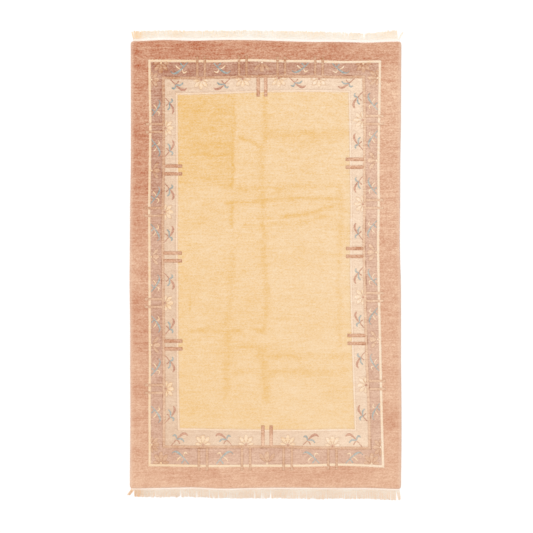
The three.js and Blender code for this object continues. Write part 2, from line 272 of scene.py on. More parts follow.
def ring(name, shift, spacing, radius=0.0):
    """Points of a closed line, anticlockwise seen from above."""
    runs = []
    corners = []
    for side_name, start, stop in WALK:
        side = SIDES[side_name]
        ends = [(side_name, e) if side_name in ("left", "right") else (e, side_name) for e in (start, stop)]
        first, last = (corner(*pair, name, shift) for pair in ends)
        corners.append(last)
        toward = np.sign((last - first) @ side.run)
        begin, finish = first @ side.run + toward * radius, last @ side.run - toward * radius
        steps = round((PILE_LENGTH + PILE_WIDTH - 2 * side.half) / spacing)
        along = np.linspace(begin, finish, steps + 1)
        runs.append(side.at(name, along if radius else along[:-1], shift))
    loop = []
    for index, run in enumerate(runs):
        loop.append(run)
        if radius:
            t = np.linspace(0, 1, CORNER_STEPS + 1)[1:-1, None]
            before, after = run[-1], runs[(index + 1) % 4][0]
            loop.append((1 - t) ** 2 * before + 2 * t * (1 - t) * corners[index] + t ** 2 * after)
    return np.concatenate(loop)


CORNER_RADIUS = 0.018
RIM_SPACING = 0.008
rim_line = ring("edge", 0.0, RIM_SPACING, CORNER_RADIUS)
low_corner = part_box("rug_body")[0]
SHIFT = np.array([low_corner.x, low_corner.y]) - rim_line.min(axis=0)
print("points round the rim", len(rim_line), "shift to the frame", SHIFT.round(5))

# %% [markdown]
# ## The motifs, charted once
# The border repeats a few figures: a blue sprig on the mauve band, a brown and blue sprig on the beige
# band, a half rosette and a pair of bars. A weaver works them from a chart. Here the chart is a few
# strokes for each figure, and a stroke is a curve with a half width at each of its points. Sideways the
# chart counts from the middle of the figure, and upwards it counts across the band, whose full width is 80.
# The same strokes give the colour, the carved outline and the points of the mesh.

# %% Charts of the motifs
BAND = 80.0
BLUE_SPRIG = [
    ("blue", [(77, 1, 3.0), (95, 19, 3.5), (111, 33, 3.8), (128, 46, 4.6), (145, 57, 6.6), (161, 63, 5.6)]),
    ("blue", [(161, 63, 5.6), (171, 64, 3.4), (181, 60, 2.8), (190, 51, 2.0)]),
    ("blue", [(103, 26, 2.8), (114, 17, 3.6), (123, 8, 4.6)]),
    ("cream", [(122, 41, 2.2), (134, 36, 3.2), (147, 28, 4.6), (155, 19, 3.0)]),
    ("cream", [(111, 38, 2.2), (110, 49, 3.4), (104, 58, 5.0), (94, 58, 4.0), (82, 51, 2.2)]),
]
BROWN_SPRIG = [
    ("brown", [(206, -2, 3.2), (189, 15, 3.2), (171, 30, 3.8)]),
    ("brown", [(166, 37, 3.0), (147, 51, 5.6), (129, 61, 7.4), (111, 62, 6.6), (97, 54, 3.2)]),
    ("brown", [(168, 29, 2.6), (158, 22, 3.2), (151, 12, 4.4)]),
    ("blue", [(170, 35, 3.4), (173, 48, 5.2), (183, 55, 5.6), (194, 50, 3.2)]),
    ("blue", [(165, 32, 3.2), (150, 35, 4.8), (134, 33, 5.2), (122, 22, 4.0)]),
]

# %% Petals and rosettes
def petal(angle, start, length, width):
    """A petal that leaves the middle of a rosette at an angle, counted from straight out."""
    across, out = math.sin(math.radians(angle)), math.cos(math.radians(angle))
    widths = [(0.0, 0.25), (0.3, 0.65), (0.6, 1.0), (0.8, 0.9), (0.93, 0.5), (1.0, 0.2)]
    reach = [(start + share * (length - start), width * part) for share, part in widths]
    return [(across * r, out * r + 2, half) for r, half in reach]


FIVE_PETALS = [(0, 10, 56, 12), (43, 12, 57, 11), (-43, 12, 57, 11), (81, 12, 49, 8), (-81, 12, 49, 8)]
THREE_PETALS = [(0, 14, 54, 15.0), (45, 16, 66, 10.0), (-45, 16, 66, 10.0)]


def rosette(petals, petal_yarn, heart_yarn, heart):
    strokes = [(petal_yarn, petal(*shape)) for shape in petals]
    return strokes + [(heart_yarn, [(0, 0, heart), (0, 5, heart)])]


PALE_ROSETTE = rosette(FIVE_PETALS, "cream", "brown", 5.5)
TONE_ROSETTE = rosette(FIVE_PETALS, "tan", "cream", 6.0)
LOTUS = rosette(THREE_PETALS, "tan", "cream", 6.0)

# %% Smooth strokes
def smoothed(stroke, pieces=3):
    """A stroke with a smooth curve through its points."""
    points = np.array(stroke, float) * MM
    if len(points) < 3:
        return points
    padded = np.vstack([2 * points[0] - points[1], points, 2 * points[-1] - points[-2]])
    curve = []
    for a, b, c, d in zip(padded, padded[1:], padded[2:], padded[3:]):
        for t in np.arange(pieces) / pieces:
            curve.append(between(a, b, c, d, t))
    return np.array([*curve, points[-1]])


CHARTS = {
    "blue sprig": [(yarn, smoothed(stroke)) for yarn, stroke in BLUE_SPRIG],
    "brown sprig": [(yarn, smoothed(stroke)) for yarn, stroke in BROWN_SPRIG],
    "pale rosette": [(yarn, smoothed(stroke, 2)) for yarn, stroke in PALE_ROSETTE],
    "tone rosette": [(yarn, smoothed(stroke, 2)) for yarn, stroke in TONE_ROSETTE],
    "lotus": [(yarn, smoothed(stroke, 2)) for yarn, stroke in LOTUS],
}


def stroke_distance(points, stroke):
    """Distance from points to the edge of a stroke, negative inside it."""
    nearest = np.full(len(points), np.inf)
    for start, stop in zip(stroke, stroke[1:]):
        along = stop[:2] - start[:2]
        t = np.clip((points - start[:2]) @ along / (along @ along), 0, 1)
        centre = start[:2] + t[:, None] * along
        half = start[2] + t * (stop[2] - start[2])
        nearest = np.minimum(nearest, np.linalg.norm(points - centre, axis=1) - half)
    return nearest


print("strokes", {name: len(chart) for name, chart in CHARTS.items()})

# %% [markdown]
# ## Where the motifs sit
# The layout is a rule. A unit stands on each place of a pair of outer bars: the bars cross the mauve band,
# a pale rosette sits on the ridge between them, and sprigs lean in from both sides. Between two units,
# a lotus faces a pair of inner bars, and two tone rosettes fill each corner. Near the middle of the short
# ends there is room for bars and rosettes only. The weaver spaced the sprigs by eye, so each stands a
# little nearer to its unit or further from it than in the chart.

# %% The layout along each side
# units: the middle, then how much further out the sprigs stand than charted: on the mauve band before and
# after the middle, and on the beige band before and after it. plain: bars and rosette only, as their
# middle and the rosette's shift. between: inner bars and lotus, as their middle and the lotus's shift.
# corners: tone rosettes alone. size: of the rosettes. bold: of the sprigs' lines. pitch: between the two
# bars of a pair.
LAYOUT = {
    "left": {
        "units": [
            (910, 0, 0, -14, 0), (350, 3, -20, -2, -14), (-257, 6, -3, 6, -6), (-830, 36, 13, 19, 17),
        ],
        "plain": [], "between": [(630, -4), (50, 0), (-537, 0)], "corners": [1232, -1201],
        "size": 1.08, "bold": 1.0, "pitch": 52,
    },
    "right": {
        "units": [
            (963, -5, -10, -5, -17), (403, 33, -14, 33, -18), (-217, -6, 0, 3, -6), (-804, 43, 16, 40, 17),
        ],
        "plain": [], "between": [(675, 18), (80, 0), (-500, 0)], "corners": [1244, -1219],
        "size": 1.14, "bold": 1.0, "pitch": 53,
    },
    "top": {
        "units": [(-430, 13, 5, 0, -12), (356, -10, 12, -8, 32)],
        "plain": [(-152, 0), (105, -17)], "between": [(-24, 0)], "corners": [-697, 652],
        "size": 1.06, "bold": 1.0, "pitch": 50,
    },
    "bottom": {
        "units": [(-417, 18, 10, 6, -11), (446, 8, 12, -3, -8)],
        "plain": [(-130, 0), (148, 0)], "between": [(10, 0)], "corners": [-697, 707],
        "size": 1.05, "bold": 0.9, "pitch": 55,
    },
}
GUARD_WIDTH = 0.0154
RIDGE_WIDTH = 0.019
LINE_WIDTH = 0.013
OUTER_BAR = {"width": 0.0165, "reach": 0.024}
INNER_BAR = {"width": 0.022, "reach": 0.027}
# no distance to a figure is kept beyond this
FAR = 0.02
STRIPE_EDGES = [
    ("guard", -GUARD_WIDTH / 2), ("guard", GUARD_WIDTH / 2),
    ("ridge", -RIDGE_WIDTH), ("ridge", 0.0),
    ("line", -LINE_WIDTH / 2), ("line", LINE_WIDTH / 2),
]

# %% Motifs in their places
def band_limits(side, band, along):
    """Depths of the outer and inner edge of the mauve or the beige band."""
    if band == "mauve":
        return side.depth("guard", along, GUARD_WIDTH / 2), side.depth("ridge", along, -RIDGE_WIDTH)
    return side.depth("ridge", along), side.depth("line", along, -LINE_WIDTH / 2)


class Motif:
    """A charted figure in its place. Its own frame is the chart's, in metres."""

    def __init__(self, side, band, middle, chart, flip=1.0, out=0.0, size=1.0, bold=1.0):
        self.side, self.band, self.middle, self.flip = side, band, middle * MM, flip
        scale, shift = (size, size, size * bold), (out * MM, 0, 0)
        self.strokes = [(yarn, stroke * scale + shift) for yarn, stroke in CHARTS[chart]]
        ends = np.concatenate([stroke for _, stroke in self.strokes])
        self.low, self.high = ends[:, :2].min(axis=0) - FAR, ends[:, :2].max(axis=0) + FAR

    def to_chart(self, points):
        along, depth = self.side.locate(points)
        outer, inner = band_limits(self.side, self.band, along)
        across = (depth - outer) / (inner - outer) * BAND * MM
        return np.stack([(along - self.middle) * self.flip, across], axis=1)

    def to_rug(self, points):
        along = self.middle + self.flip * points[:, 0]
        outer, inner = band_limits(self.side, self.band, along)
        return self.side.place(along, outer + points[:, 1] / (BAND * MM) * (inner - outer))


def place_motifs():
    motifs = []
    for name, plan in LAYOUT.items():
        side, size, bold = SIDES[name], plan["size"], plan["bold"]
        for middle, *outs in plan["units"]:
            for flip, mauve_out, beige_out in ((-1.0, outs[0], outs[2]), (1.0, outs[1], outs[3])):
                motifs.append(Motif(side, "mauve", middle, "blue sprig", flip, mauve_out, bold=bold))
                motifs.append(Motif(side, "beige", middle, "brown sprig", flip, beige_out, bold=bold))
            motifs.append(Motif(side, "beige", middle, "pale rosette", size=size))
        for middle, shift in plan["plain"]:
            motifs.append(Motif(side, "beige", middle + shift, "pale rosette", size=size))
        for middle, shift in plan["between"]:
            motifs.append(Motif(side, "mauve", middle + shift, "lotus", size=size))
        for middle in plan["corners"]:
            motifs.append(Motif(side, "mauve", middle, "tone rosette", size=size))
    return motifs


MOTIFS = place_motifs()

# %% Bars in their places
def pair_places(rows, pitch):
    """Both bars of each pair, from rows that start with the pair's middle."""
    return [(row[0] + way * pitch / 2) * MM for row in rows for way in (-1, 1)]


def place_bars():
    """Each bar as its side, its middle, its half width and the depths of its free and its held end."""
    bars = {"outer": [], "inner": []}
    for name, plan in LAYOUT.items():
        side = SIDES[name]
        for middle in pair_places(plan["units"] + plan["plain"], plan["pitch"]):
            free = side.depth("guard", middle, -GUARD_WIDTH / 2 - OUTER_BAR["reach"])
            held = side.depth("ridge", middle, -RIDGE_WIDTH)
            bars["outer"].append((side, middle, OUTER_BAR["width"] / 2, free, held))
        for middle in pair_places(plan["between"], plan["pitch"]):
            free = side.depth("line", middle, LINE_WIDTH / 2 + INNER_BAR["reach"])
            held = side.depth("ridge", middle)
            bars["inner"].append((side, middle, INNER_BAR["width"] / 2, free, held))
    return bars


BARS = place_bars()
HELD_OVERLAP = 0.006
print("motifs", len(MOTIFS), "bars", {name: len(found) for name, found in BARS.items()})

# %% [markdown]
# ## Distances instead of pictures
# To colour the pile without an image, every point of the mesh stores how far it is from the edge of each
# figure. Inside, the distance is negative. The material only has to ask on which side of zero it is, which
# stays crisp however near the camera comes. Python works the distances out for all points at once.

# %% Distance to every figure
YARNS = ["tan", "bars", "cream", "brown", "blue"]


def bar_distance(points, bar):
    side, middle, half, free, held = bar
    along, depth = side.locate(points)
    low, high = min(free, held), max(free, held)
    if held > free:
        high += HELD_OVERLAP
    else:
        low -= HELD_OVERLAP
    beside = np.abs(along - middle) - half
    beyond = np.maximum(low - depth, depth - high)
    outside = np.hypot(np.maximum(beside, 0), np.maximum(beyond, 0))
    return outside + np.minimum(np.maximum(beside, beyond), 0)


def figure_distances(points):
    """Signed distance to each yarn's figures, and to the outline of whichever figure is nearest."""
    found = {yarn: np.full(len(points), FAR) for yarn in YARNS}
    outline = np.full(len(points), FAR)
    for motif in MOTIFS:
        chart = motif.to_chart(points)
        near = np.all((chart > motif.low) & (chart < motif.high), axis=1)
        whole = np.full(near.sum(), FAR)
        for yarn, stroke in motif.strokes:
            distance = stroke_distance(chart[near], stroke)
            found[yarn][near] = np.minimum(found[yarn][near], distance)
            whole = np.minimum(whole, distance)
        outline[near] = np.where(np.abs(whole) < np.abs(outline[near]), whole, outline[near])
    for kind, yarn in (("outer", "tan"), ("inner", "bars")):
        for bar in BARS[kind]:
            distance = bar_distance(points, bar)
            found[yarn] = np.minimum(found[yarn], distance)
            outline = np.where(np.abs(distance) < np.abs(outline), distance, outline)
    return found, outline


def stripe_distance(points):
    """Distance to the nearest edge of a stripe."""
    return np.min([np.abs(inside(points, *edge)) for edge in STRIPE_EDGES], axis=0)


# %% [markdown]
# ## Creases from being folded
# The rug was stored folded. Opened out, it keeps shallow creases in the plain field, where the pile leans
# away and catches less light, painted in as shade: three down its length, some across, and a long bowed
# one. Each is a soft stroke with a strength and a half width. It dents the pile by less than a millimetre.

# %% Creases
# strength, half width and the points of the line, in millimetres
CREASES = [
    (0.75, 6, [(-205, 1150), (-212, 850), (-222, 525)]),
    (0.7, 8, [(-227, 400), (-225, 245)]),
    (0.4, 16, [(-215, 100), (-245, -380), (-262, -880)]),
    (0.55, 14, [
        (-8, 1150), (-3, 860), (-30, 760), (-22, 500), (-15, 330), (-10, 30), (10, -240), (-17, -440),
    ]),
    (0.5, 22, [(-20, -560), (3, -900)]),
    (0.4, 12, [(496, 520), (500, 215), (490, -235), (497, -540)]),
    (0.8, 8, [(-170, 850), (-97, 820), (-40, 785), (10, 860)]),
    (0.5, 22, [(0, 863), (280, 870), (555, 880)]),
    (0.45, 8, [(-470, 803), (-224, 803)]),
    (0.4, 7, [(-500, 732), (-225, 735)]),
    (0.4, 12, [(-170, 510), (200, 515), (500, 520)]),
    (0.7, 9, [(-270, 403), (30, 430), (230, 443), (500, 436)]),
    (0.9, 7, [(-50, 310), (95, 316), (230, 330), (350, 355), (465, 395)]),
    (0.4, 10, [(15, 270), (230, 276), (400, 322)]),
    (0.6, 9, [(-500, -443), (-170, -443)]),
    (0.6, 8, [(-170, -550), (-23, -543)]),
    (0.45, 14, [(-70, -610), (560, -610)]),
    (0.4, 14, [(-200, -717), (530, -717)]),
    (0.6, 24, [(-10, -757), (2, -760)]),
    (0.9, 4, [(-503, -237), (-505, -318)]),
    (0.5, 8, [(-257, -310), (-264, -537)]),
    (0.7, 7, [(-137, 497), (-133, 490)]),
    (0.8, 7, [(-137, 270), (-132, 262)]),
    (0.8, 7, [(-70, -437), (-23, -450)]),
]
CREASE_DENT = 0.0007
CREASE_WANDER = 0.012
CREASE_WAVES = 9


def creased(points):
    """How strongly the pile is creased, from 0 to about 1."""
    wander = [noise.noise(Vector((x * CREASE_WAVES, y * CREASE_WAVES, 4.0))) for x, y in points]
    points = points + CREASE_WANDER * np.array(wander)[:, None]
    depth = np.zeros(len(points))
    for strength, half, line in CREASES:
        stroke = smoothed([(x, y, 0) for x, y in line])
        near = stroke_distance(points, stroke) / (half * MM)
        depth = np.maximum(depth, strength * np.exp(-0.5 * near ** 2))
    return depth


print("creases", len(CREASES))

# %% [markdown]
# ## Points for the mesh
# The top of the pile is one triangulated sheet. Its points lie where the shape needs them: three rows along
# each carved groove, at its bottom and both lips, the same round each motif and bar, and a loose lattice
# in between, closer in the border than in the plain field. Blender's constrained Delaunay triangulation
# joins them, and keeps the groove lines as edges.

# %% Points along grooves and outlines
LIP = 0.003
INNER_LIP = 0.0025
THINNEST = 0.001
OUTLINE_SLACK = 0.0004
TIP_TURNS = np.radians((-70, -25, 25, 70))
BAR_END = np.array([-0.4, 0.0, 0.4])
LATTICE_JITTER = 0.16


def stroke_outline(stroke, offset, spacing):
    """Points at one offset outside a stroke: both flanks and a round cap at each end."""
    sides = []
    for start, stop in zip(stroke, stroke[1:]):
        along = stop[:2] - start[:2]
        length = np.linalg.norm(along)
        normal = np.array([-along[1], along[0]]) / length
        steps = max(1, round(length / spacing))
        for t in (np.arange(steps) + 0.5) / steps:
            centre, half = start[:2] + t * along, start[2] + t * (stop[2] - start[2]) + offset
            sides += [centre + half * normal, centre - half * normal]
    for tip, near in ((stroke[0], stroke[1]), (stroke[-1], stroke[-2])):
        heading = math.atan2(*(tip[:2] - near[:2])[::-1])
        half = tip[2] + offset
        for turn in TIP_TURNS:
            sides.append(tip[:2] + half * np.array([math.cos(heading + turn), math.sin(heading + turn)]))
    return np.array(sides)


def motif_points(motif, spacing):
    """Points on the outline of a motif, on the lip outside it and on the crown inside it."""
    rows = []
    for offset in (0.0, LIP, -INNER_LIP):
        for _, stroke in motif.strokes:
            if stroke[:, 2].max() + offset < THINNEST:
                continue
            points = stroke_outline(stroke, offset, spacing)
            whole = np.min([stroke_distance(points, other) for _, other in motif.strokes], axis=0)
            rows.append(points[np.abs(whole - offset) < OUTLINE_SLACK])
    return motif.to_rug(np.concatenate(rows))


def bar_points(bar, spacing):
    side, middle, half, free, held = bar
    rows = []
    inward = np.sign(held - free)
    for offset in (0.0, LIP, -LIP):
        tip = free - inward * offset
        depths = np.linspace(tip, held, max(2, round(abs(held - tip) / spacing)))
        for edge in (-1, 1):
            rows.append(side.place(np.full(len(depths), middle + edge * (half + offset)), depths))
        rows.append(side.place(middle + BAR_END * (half + offset), np.full(len(BAR_END), tip)))
    return np.concatenate(rows)

# %% Loose points between them
def lattice(spacing, seed):
    """Loose triangular lattice over the whole rug."""
    rng = np.random.default_rng(seed)
    rows = np.arange(-PILE_LENGTH / 2, PILE_LENGTH / 2, spacing * math.sqrt(0.75))
    columns = np.arange(-PILE_WIDTH / 2, PILE_WIDTH / 2, spacing)
    x = columns[None, :] + spacing / 2 * (np.arange(len(rows)) % 2)[:, None]
    points = np.stack([x, np.broadcast_to(rows[:, None], x.shape)], axis=-1).reshape(-1, 2)
    return points + rng.uniform(-LATTICE_JITTER, LATTICE_JITTER, points.shape) * spacing


def thinned(points, cell):
    """At most one point in each little square."""
    _, keep = np.unique(np.round(points / cell).astype(int), axis=0, return_index=True)
    return points[np.sort(keep)]


# %% [markdown]
# ## The knotted piece as one closed mesh
# The pile stands out over its cotton foundation and is clipped round at the rim. Rows of points follow the
# rim's profile down to the floor, and the underside closes the shape. The carved grooves are V-shaped, and
# the pile has low swells where it has been walked on and brushed.

# %% Sizes of the pile
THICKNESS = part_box("rug_body")[1].z
TOP_INSET = 0.009
# how far in from the rim, and how high
RIM_PROFILE = [
    (6.2, 13.1), (3.8, 12.1), (1.8, 10.8), (0.5, 9.3), (0.0, 7.7),
    (0.3, 6.0), (1.4, 4.5), (3.0, 3.3), (3.0, 1.6), (3.2, 0.0),
]
RIM_UNEVEN = 0.0012
RIM_WAVES = 60
GROOVE_SPACING = 0.014
OUTLINE_SPACING = 0.0048
BORDER_LATTICE = 0.010
FIELD_LATTICE = 0.0155
BACK_LATTICE = 0.05
STRIPE_DEPTH = 0.0026
MOTIF_DEPTH = 0.0020
CROWN_ROOM = 0.0005
OUTLINE_CELL = 0.0022
GROOVE_ROOM = 0.0012
LATTICE_ROOM = 0.45
RIM_ROOM = 0.5
BORDER_REACH = {"guard": 0.02, "line": 0.04}
TOP_SEED = 5
BACK_SEED = 9
INSIDE_ONLY = 1
MERGE_DISTANCE = 1e-6
ON_BAR = -0.001
SWELL = 0.0007
BROAD_SWELL = (7, 11)
SHORT_SWELL = (26, 38)

# %% Relief of the top
def carving(points, outline, bars_mask):
    """Depth of the carved grooves at each point."""
    stripe = np.clip(1 - stripe_distance(points) / LIP, 0, 1) * (1 - bars_mask)
    motif = np.clip(1 - np.abs(outline) / LIP, 0, 1)
    return np.maximum(stripe * STRIPE_DEPTH, motif * MOTIF_DEPTH)


def swells(points):
    """Low waves of the pile: long ones along the weft, shorter ones all over."""
    heights = []
    for x, y in points:
        broad = noise.noise(Vector((x * BROAD_SWELL[0], y * BROAD_SWELL[1], 0.3)))
        short = noise.noise(Vector((x * SHORT_SWELL[0], y * SHORT_SWELL[1], 1.7)))
        heights.append(0.6 * broad + 0.4 * short)
    return SWELL * np.array(heights)

# %% The top and the underside as triangles
def sheet_points(boundary, border, field):
    """All points of the top: first the rim, then the groove rows with the edges that join them."""
    points, edges, count = [boundary], [], len(boundary)
    for name, shift in STRIPE_EDGES:
        for offset in (-LIP, 0.0, LIP):
            loop = ring(name, shift + offset, GROOVE_SPACING)
            index = np.arange(len(loop)) + count
            edges += list(zip(index.tolist(), np.roll(index, -1).tolist()))
            points.append(loop)
            count += len(loop)
    drawn = [motif_points(motif, OUTLINE_SPACING) for motif in MOTIFS]
    drawn += [bar_points(bar, OUTLINE_SPACING) for kind in BARS.values() for bar in kind]
    drawn = thinned(np.concatenate(drawn), OUTLINE_CELL)
    points.append(drawn[stripe_distance(drawn) > LIP + GROOVE_ROOM])
    for spacing, wanted in ((border, True), (field, False)):
        loose = lattice(spacing, TOP_SEED)
        in_border = inside(loose, "guard") > -BORDER_REACH["guard"]
        in_border &= inside(loose, "line") < BORDER_REACH["line"]
        _, outline = figure_distances(loose)
        clear = np.minimum(stripe_distance(loose), np.abs(outline)) > LIP + LATTICE_ROOM * spacing
        in_reach = inside(loose, "edge") > TOP_INSET + RIM_ROOM * spacing
        points.append(loose[clear & in_reach & (in_border == wanted)])
    return np.concatenate(points), edges


def triangulate(points, edges, rim_count):
    """Triangles between the points, all inside the rim, which is the first of them."""
    corners = [Vector(point) for point in points]
    rim = [list(range(rim_count))]
    found = delaunay_2d_cdt(corners, edges, rim, INSIDE_ONLY, MERGE_DISTANCE)
    vertices = np.array([tuple(v) for v in found[0]])
    faces = [tuple(face) for face in found[2]]
    origin = {source: new for new, sources in enumerate(found[3]) for source in sources}
    return vertices, faces, [origin[index] for index in range(rim_count)]


def lowest_layer(points):
    """Triangles of the underside, with the same rim and a wide lattice inside it."""
    loose = lattice(BACK_LATTICE, BACK_SEED)
    inner = loose[inside(loose, "edge") > RIM_ROOM * BACK_LATTICE]
    lines = [ring(name, shift, GROOVE_SPACING) for name, shift in STRIPE_EDGES]
    return triangulate(np.concatenate([points, *lines, inner]), [], len(points))

# %% Rows of points down the rim
def rim_rows():
    """Rings of points down the clipped edge. The wool there is a little uneven."""
    outward = rim_line - ring("edge", TOP_INSET, RIM_SPACING, CORNER_RADIUS)
    outward /= np.linalg.norm(outward, axis=1)[:, None]
    rows = []
    for row, (inset, height) in enumerate(RIM_PROFILE):
        points = ring("edge", inset * MM, RIM_SPACING, CORNER_RADIUS)
        weight = RIM_UNEVEN * math.sin(math.pi * min(1.0, (row + 1) / len(RIM_PROFILE)))
        bulge = [noise.noise(Vector((x * RIM_WAVES, y * RIM_WAVES, row * 0.5))) for x, y in points]
        points = points + outward * (weight * np.array(bulge))[:, None]
        rows.append(np.column_stack([points, np.full(len(points), height * MM)]))
    return rows

# %% One closed mesh
def build_pile_mesh():
    rim = ring("edge", TOP_INSET, RIM_SPACING, CORNER_RADIUS)
    top, top_faces, upper = triangulate(*sheet_points(rim, BORDER_LATTICE, FIELD_LATTICE), len(rim))
    found, outline = figure_distances(top)
    on_bar = np.minimum(found["tan"], found["bars"]) < ON_BAR
    carved = carving(top, outline, on_bar)
    height = THICKNESS - CROWN_ROOM + swells(top) - carved - CREASE_DENT * creased(top)
    vertices, faces = [np.column_stack([top, height])], list(top_faces)
    count, upper = len(top), np.array(upper)
    rows = rim_rows()
    back, back_faces, back_rim = lowest_layer(rows[-1][:, :2])
    for row in rows[:-1]:
        lower = np.arange(len(row)) + count
        faces += quads(upper, lower)
        vertices.append(row)
        upper, count = lower, count + len(row)
    faces += quads(upper, np.array(back_rim) + count)
    faces += [tuple(count + corner for corner in reversed(face)) for face in back_faces]
    vertices.append(np.column_stack([back, np.zeros(len(back))]))
    vertices = np.concatenate(vertices)
    carved = np.concatenate([carved, np.zeros(len(vertices) - len(top))])
    return vertices, faces, carved


def quads(upper, lower):
    """Faces between two closed rows of points, outwards when the lower row is the second."""
    after_upper, after_lower = np.roll(upper, -1), np.roll(lower, -1)
    return np.stack([upper, lower, after_lower, after_upper], axis=1).tolist()

# %% An object from a mesh
def mesh_object(name, vertices, faces, attributes=None, edges=()):
    """An object at the origin. Its points are moved from the pile's frame to the model's."""
    mesh = bpy.data.meshes.new(name)
    placed = np.asarray(vertices, float) + (*SHIFT, 0.0)
    mesh.from_pydata(placed.tolist(), list(edges), faces)
    for label, values in (attributes or {}).items():
        values = np.asarray(values, np.float32)
        kind, field = ("FLOAT", "value") if values.ndim == 1 else ("FLOAT_VECTOR", "vector")
        mesh.attributes.new(label, kind, "POINT").data.foreach_set(field, values.ravel())
    mesh.shade_smooth()
    made = bpy.data.objects.new(name, mesh)
    bpy.context.collection.objects.link(made)
    return made


def triangle_count(piece):
    return sum(len(face.vertices) - 2 for face in piece.data.polygons)

# %% Make the pile
vertices, faces, carved = build_pile_mesh()
flat_points = vertices[:, :2]
yarn_distances, _ = figure_distances(flat_points)
distances = {name: inside(flat_points, name) for name in ("edge", "guard", "ridge", "line")}
distances["flank"] = from_flanks(flat_points)
on_back = vertices[:, 2] <= 0
yarn_distances = {yarn: np.where(on_back, FAR, far) for yarn, far in yarn_distances.items()}
marks = {"carved": carved, "crease": np.where(on_back, 0.0, creased(flat_points))}
pile = mesh_object("pile", vertices, faces, {**yarn_distances, **distances, **marks})
print("pile", len(vertices), "points", triangle_count(pile), "triangles")

# %% [markdown]
# ## Recipes that grow yarn
# Fringe strands, twined cords and the tufts at the rim all repeat along a line. A Geometry Nodes tree
# makes each kind. Python only lays out a guide mesh, whose points carry what differs from one to the next.
# The tree does the rest, with named inputs for its sizes. The result is kept as a plain mesh.

# %% A Geometry Nodes recipe
class Recipe(Tree):
    """A Geometry Nodes tree with named inputs, which ends in plain meshes with their material."""

    def __init__(self, name, inputs):
        super().__init__(bpy.data.node_groups.new(name, "GeometryNodeTree"))
        asked = {"Guide": "NodeSocketGeometry", **inputs, "Material": "NodeSocketMaterial"}
        for label, kind in asked.items():
            self.graph.interface.new_socket(name=label, in_out="INPUT", socket_type=kind)
        self.graph.interface.new_socket(name="Mesh", in_out="OUTPUT", socket_type="NodeSocketGeometry")
        source = self.graph.nodes.new("NodeGroupInput")
        self.given = {socket.name: Wire(self, socket) for socket in source.outputs if socket.name}

    def field(self, name, kind="FLOAT"):
        return self.node("GeometryNodeInputNamedAttribute", {"data_type": kind}, {"Name": name})

    def plies(self, radius, apart, sides):
        """Two circles side by side, the cut through a two-ply yarn."""
        cut = {"Resolution": sides, "Radius": radius}
        circle = self.node("GeometryNodeCurvePrimitiveCircle", inputs=cut)
        moved = []
        for way in (-1, 1):
            place = {"Geometry": circle, "Translation": self.vector(apart * way)}
            moved.append(self.node("GeometryNodeTransform", inputs=place))
        return self.node("GeometryNodeJoinGeometry", inputs={"Geometry": moved})

    def finish(self, result):
        plain = self.node("GeometryNodeRealizeInstances", inputs={"Geometry": result})
        smooth = self.node("GeometryNodeSetShadeSmooth", inputs={"Geometry": plain})
        dressed = {"Geometry": smooth, "Material": self.given["Material"]}
        dressed = self.node("GeometryNodeSetMaterial", inputs=dressed)
        sink = self.graph.nodes.new("NodeGroupOutput")
        self.graph.links.new(dressed.socket, sink.inputs[0])

# %% Run a recipe
def scatter(index, salt):
    """A fixed number between -1 and 1 for each index."""
    wave = np.sin(np.asarray(index) * 12.9898 + salt * 78.233) * 43758.5453
    return 2 * (wave - np.floor(wave)) - 1


def grown(name, guide, recipe, values):
    """Runs a recipe on a guide and keeps the result as a plain mesh object."""
    modifier = guide.modifiers.new("grow", "NODES")
    modifier.node_group = recipe.graph
    for item in recipe.graph.interface.items_tree:
        if item.item_type == "SOCKET" and item.in_out == "INPUT" and item.name in values:
            modifier[item.identifier] = values[item.name]
    depsgraph = bpy.context.evaluated_depsgraph_get()
    mesh = bpy.data.meshes.new_from_object(guide.evaluated_get(depsgraph))
    guide.modifiers.remove(modifier)
    bpy.data.objects.remove(guide)
    mesh.name = name
    made = bpy.data.objects.new(name, mesh)
    bpy.context.collection.objects.link(made)
    print(name, triangle_count(made), "triangles")
    return made


# %% [markdown]
# ## Materials of the wool
# One dye bath never matches the next, and hand-spun wool takes it unevenly. So each colour here is a pair,
# a deep and a pale tone, and a later cell moves between them. The colours are written as 8-bit values and
# turned into the linear ones that Blender works with.

# %% Dyes
def srgb(red, green, blue):
    """A colour from its 8-bit values, as Blender's linear colour."""
    values = [v / 255 for v in (red, green, blue)]
    return (*[v / 12.92 if v <= 0.04045 else ((v + 0.055) / 1.055) ** 2.4 for v in values], 1.0)


DYES = {
    "rust": (srgb(203, 142, 112), srgb(231, 188, 158)),
    "mauve": (srgb(189, 138, 115), srgb(226, 189, 165)),
    "beige": (srgb(221, 187, 158), srgb(242, 215, 188)),
    "tan": (srgb(202, 150, 115), srgb(238, 203, 173)),
    "guard": (srgb(247, 212, 168), srgb(255, 236, 212)),
    "line": (srgb(244, 210, 174), srgb(255, 236, 214)),
    "gold": (srgb(239, 197, 132), srgb(248, 220, 181)),
    "bars": (srgb(200, 144, 112), srgb(236, 196, 166)),
    "cream": (srgb(247, 214, 174), srgb(255, 235, 210)),
    "brown": (srgb(190, 134, 114), srgb(220, 174, 148)),
    "blue": (srgb(158, 168, 164), srgb(204, 205, 196)),
}
print("dyes", list(DYES))

# %% [markdown]
# ## One shader for every finish
# Wool and cotton are both matt, so one principled shader serves them, and only its colour and its relief
# change. Every pattern is placed by Object coordinates, which stay with the piece. The glow is for the
# thin pale yarn of the fringe, and its colour is that of light which has come through cotton.

# %% A material
GLOW_COLOUR = (1.0, 0.94, 0.86, 1.0)


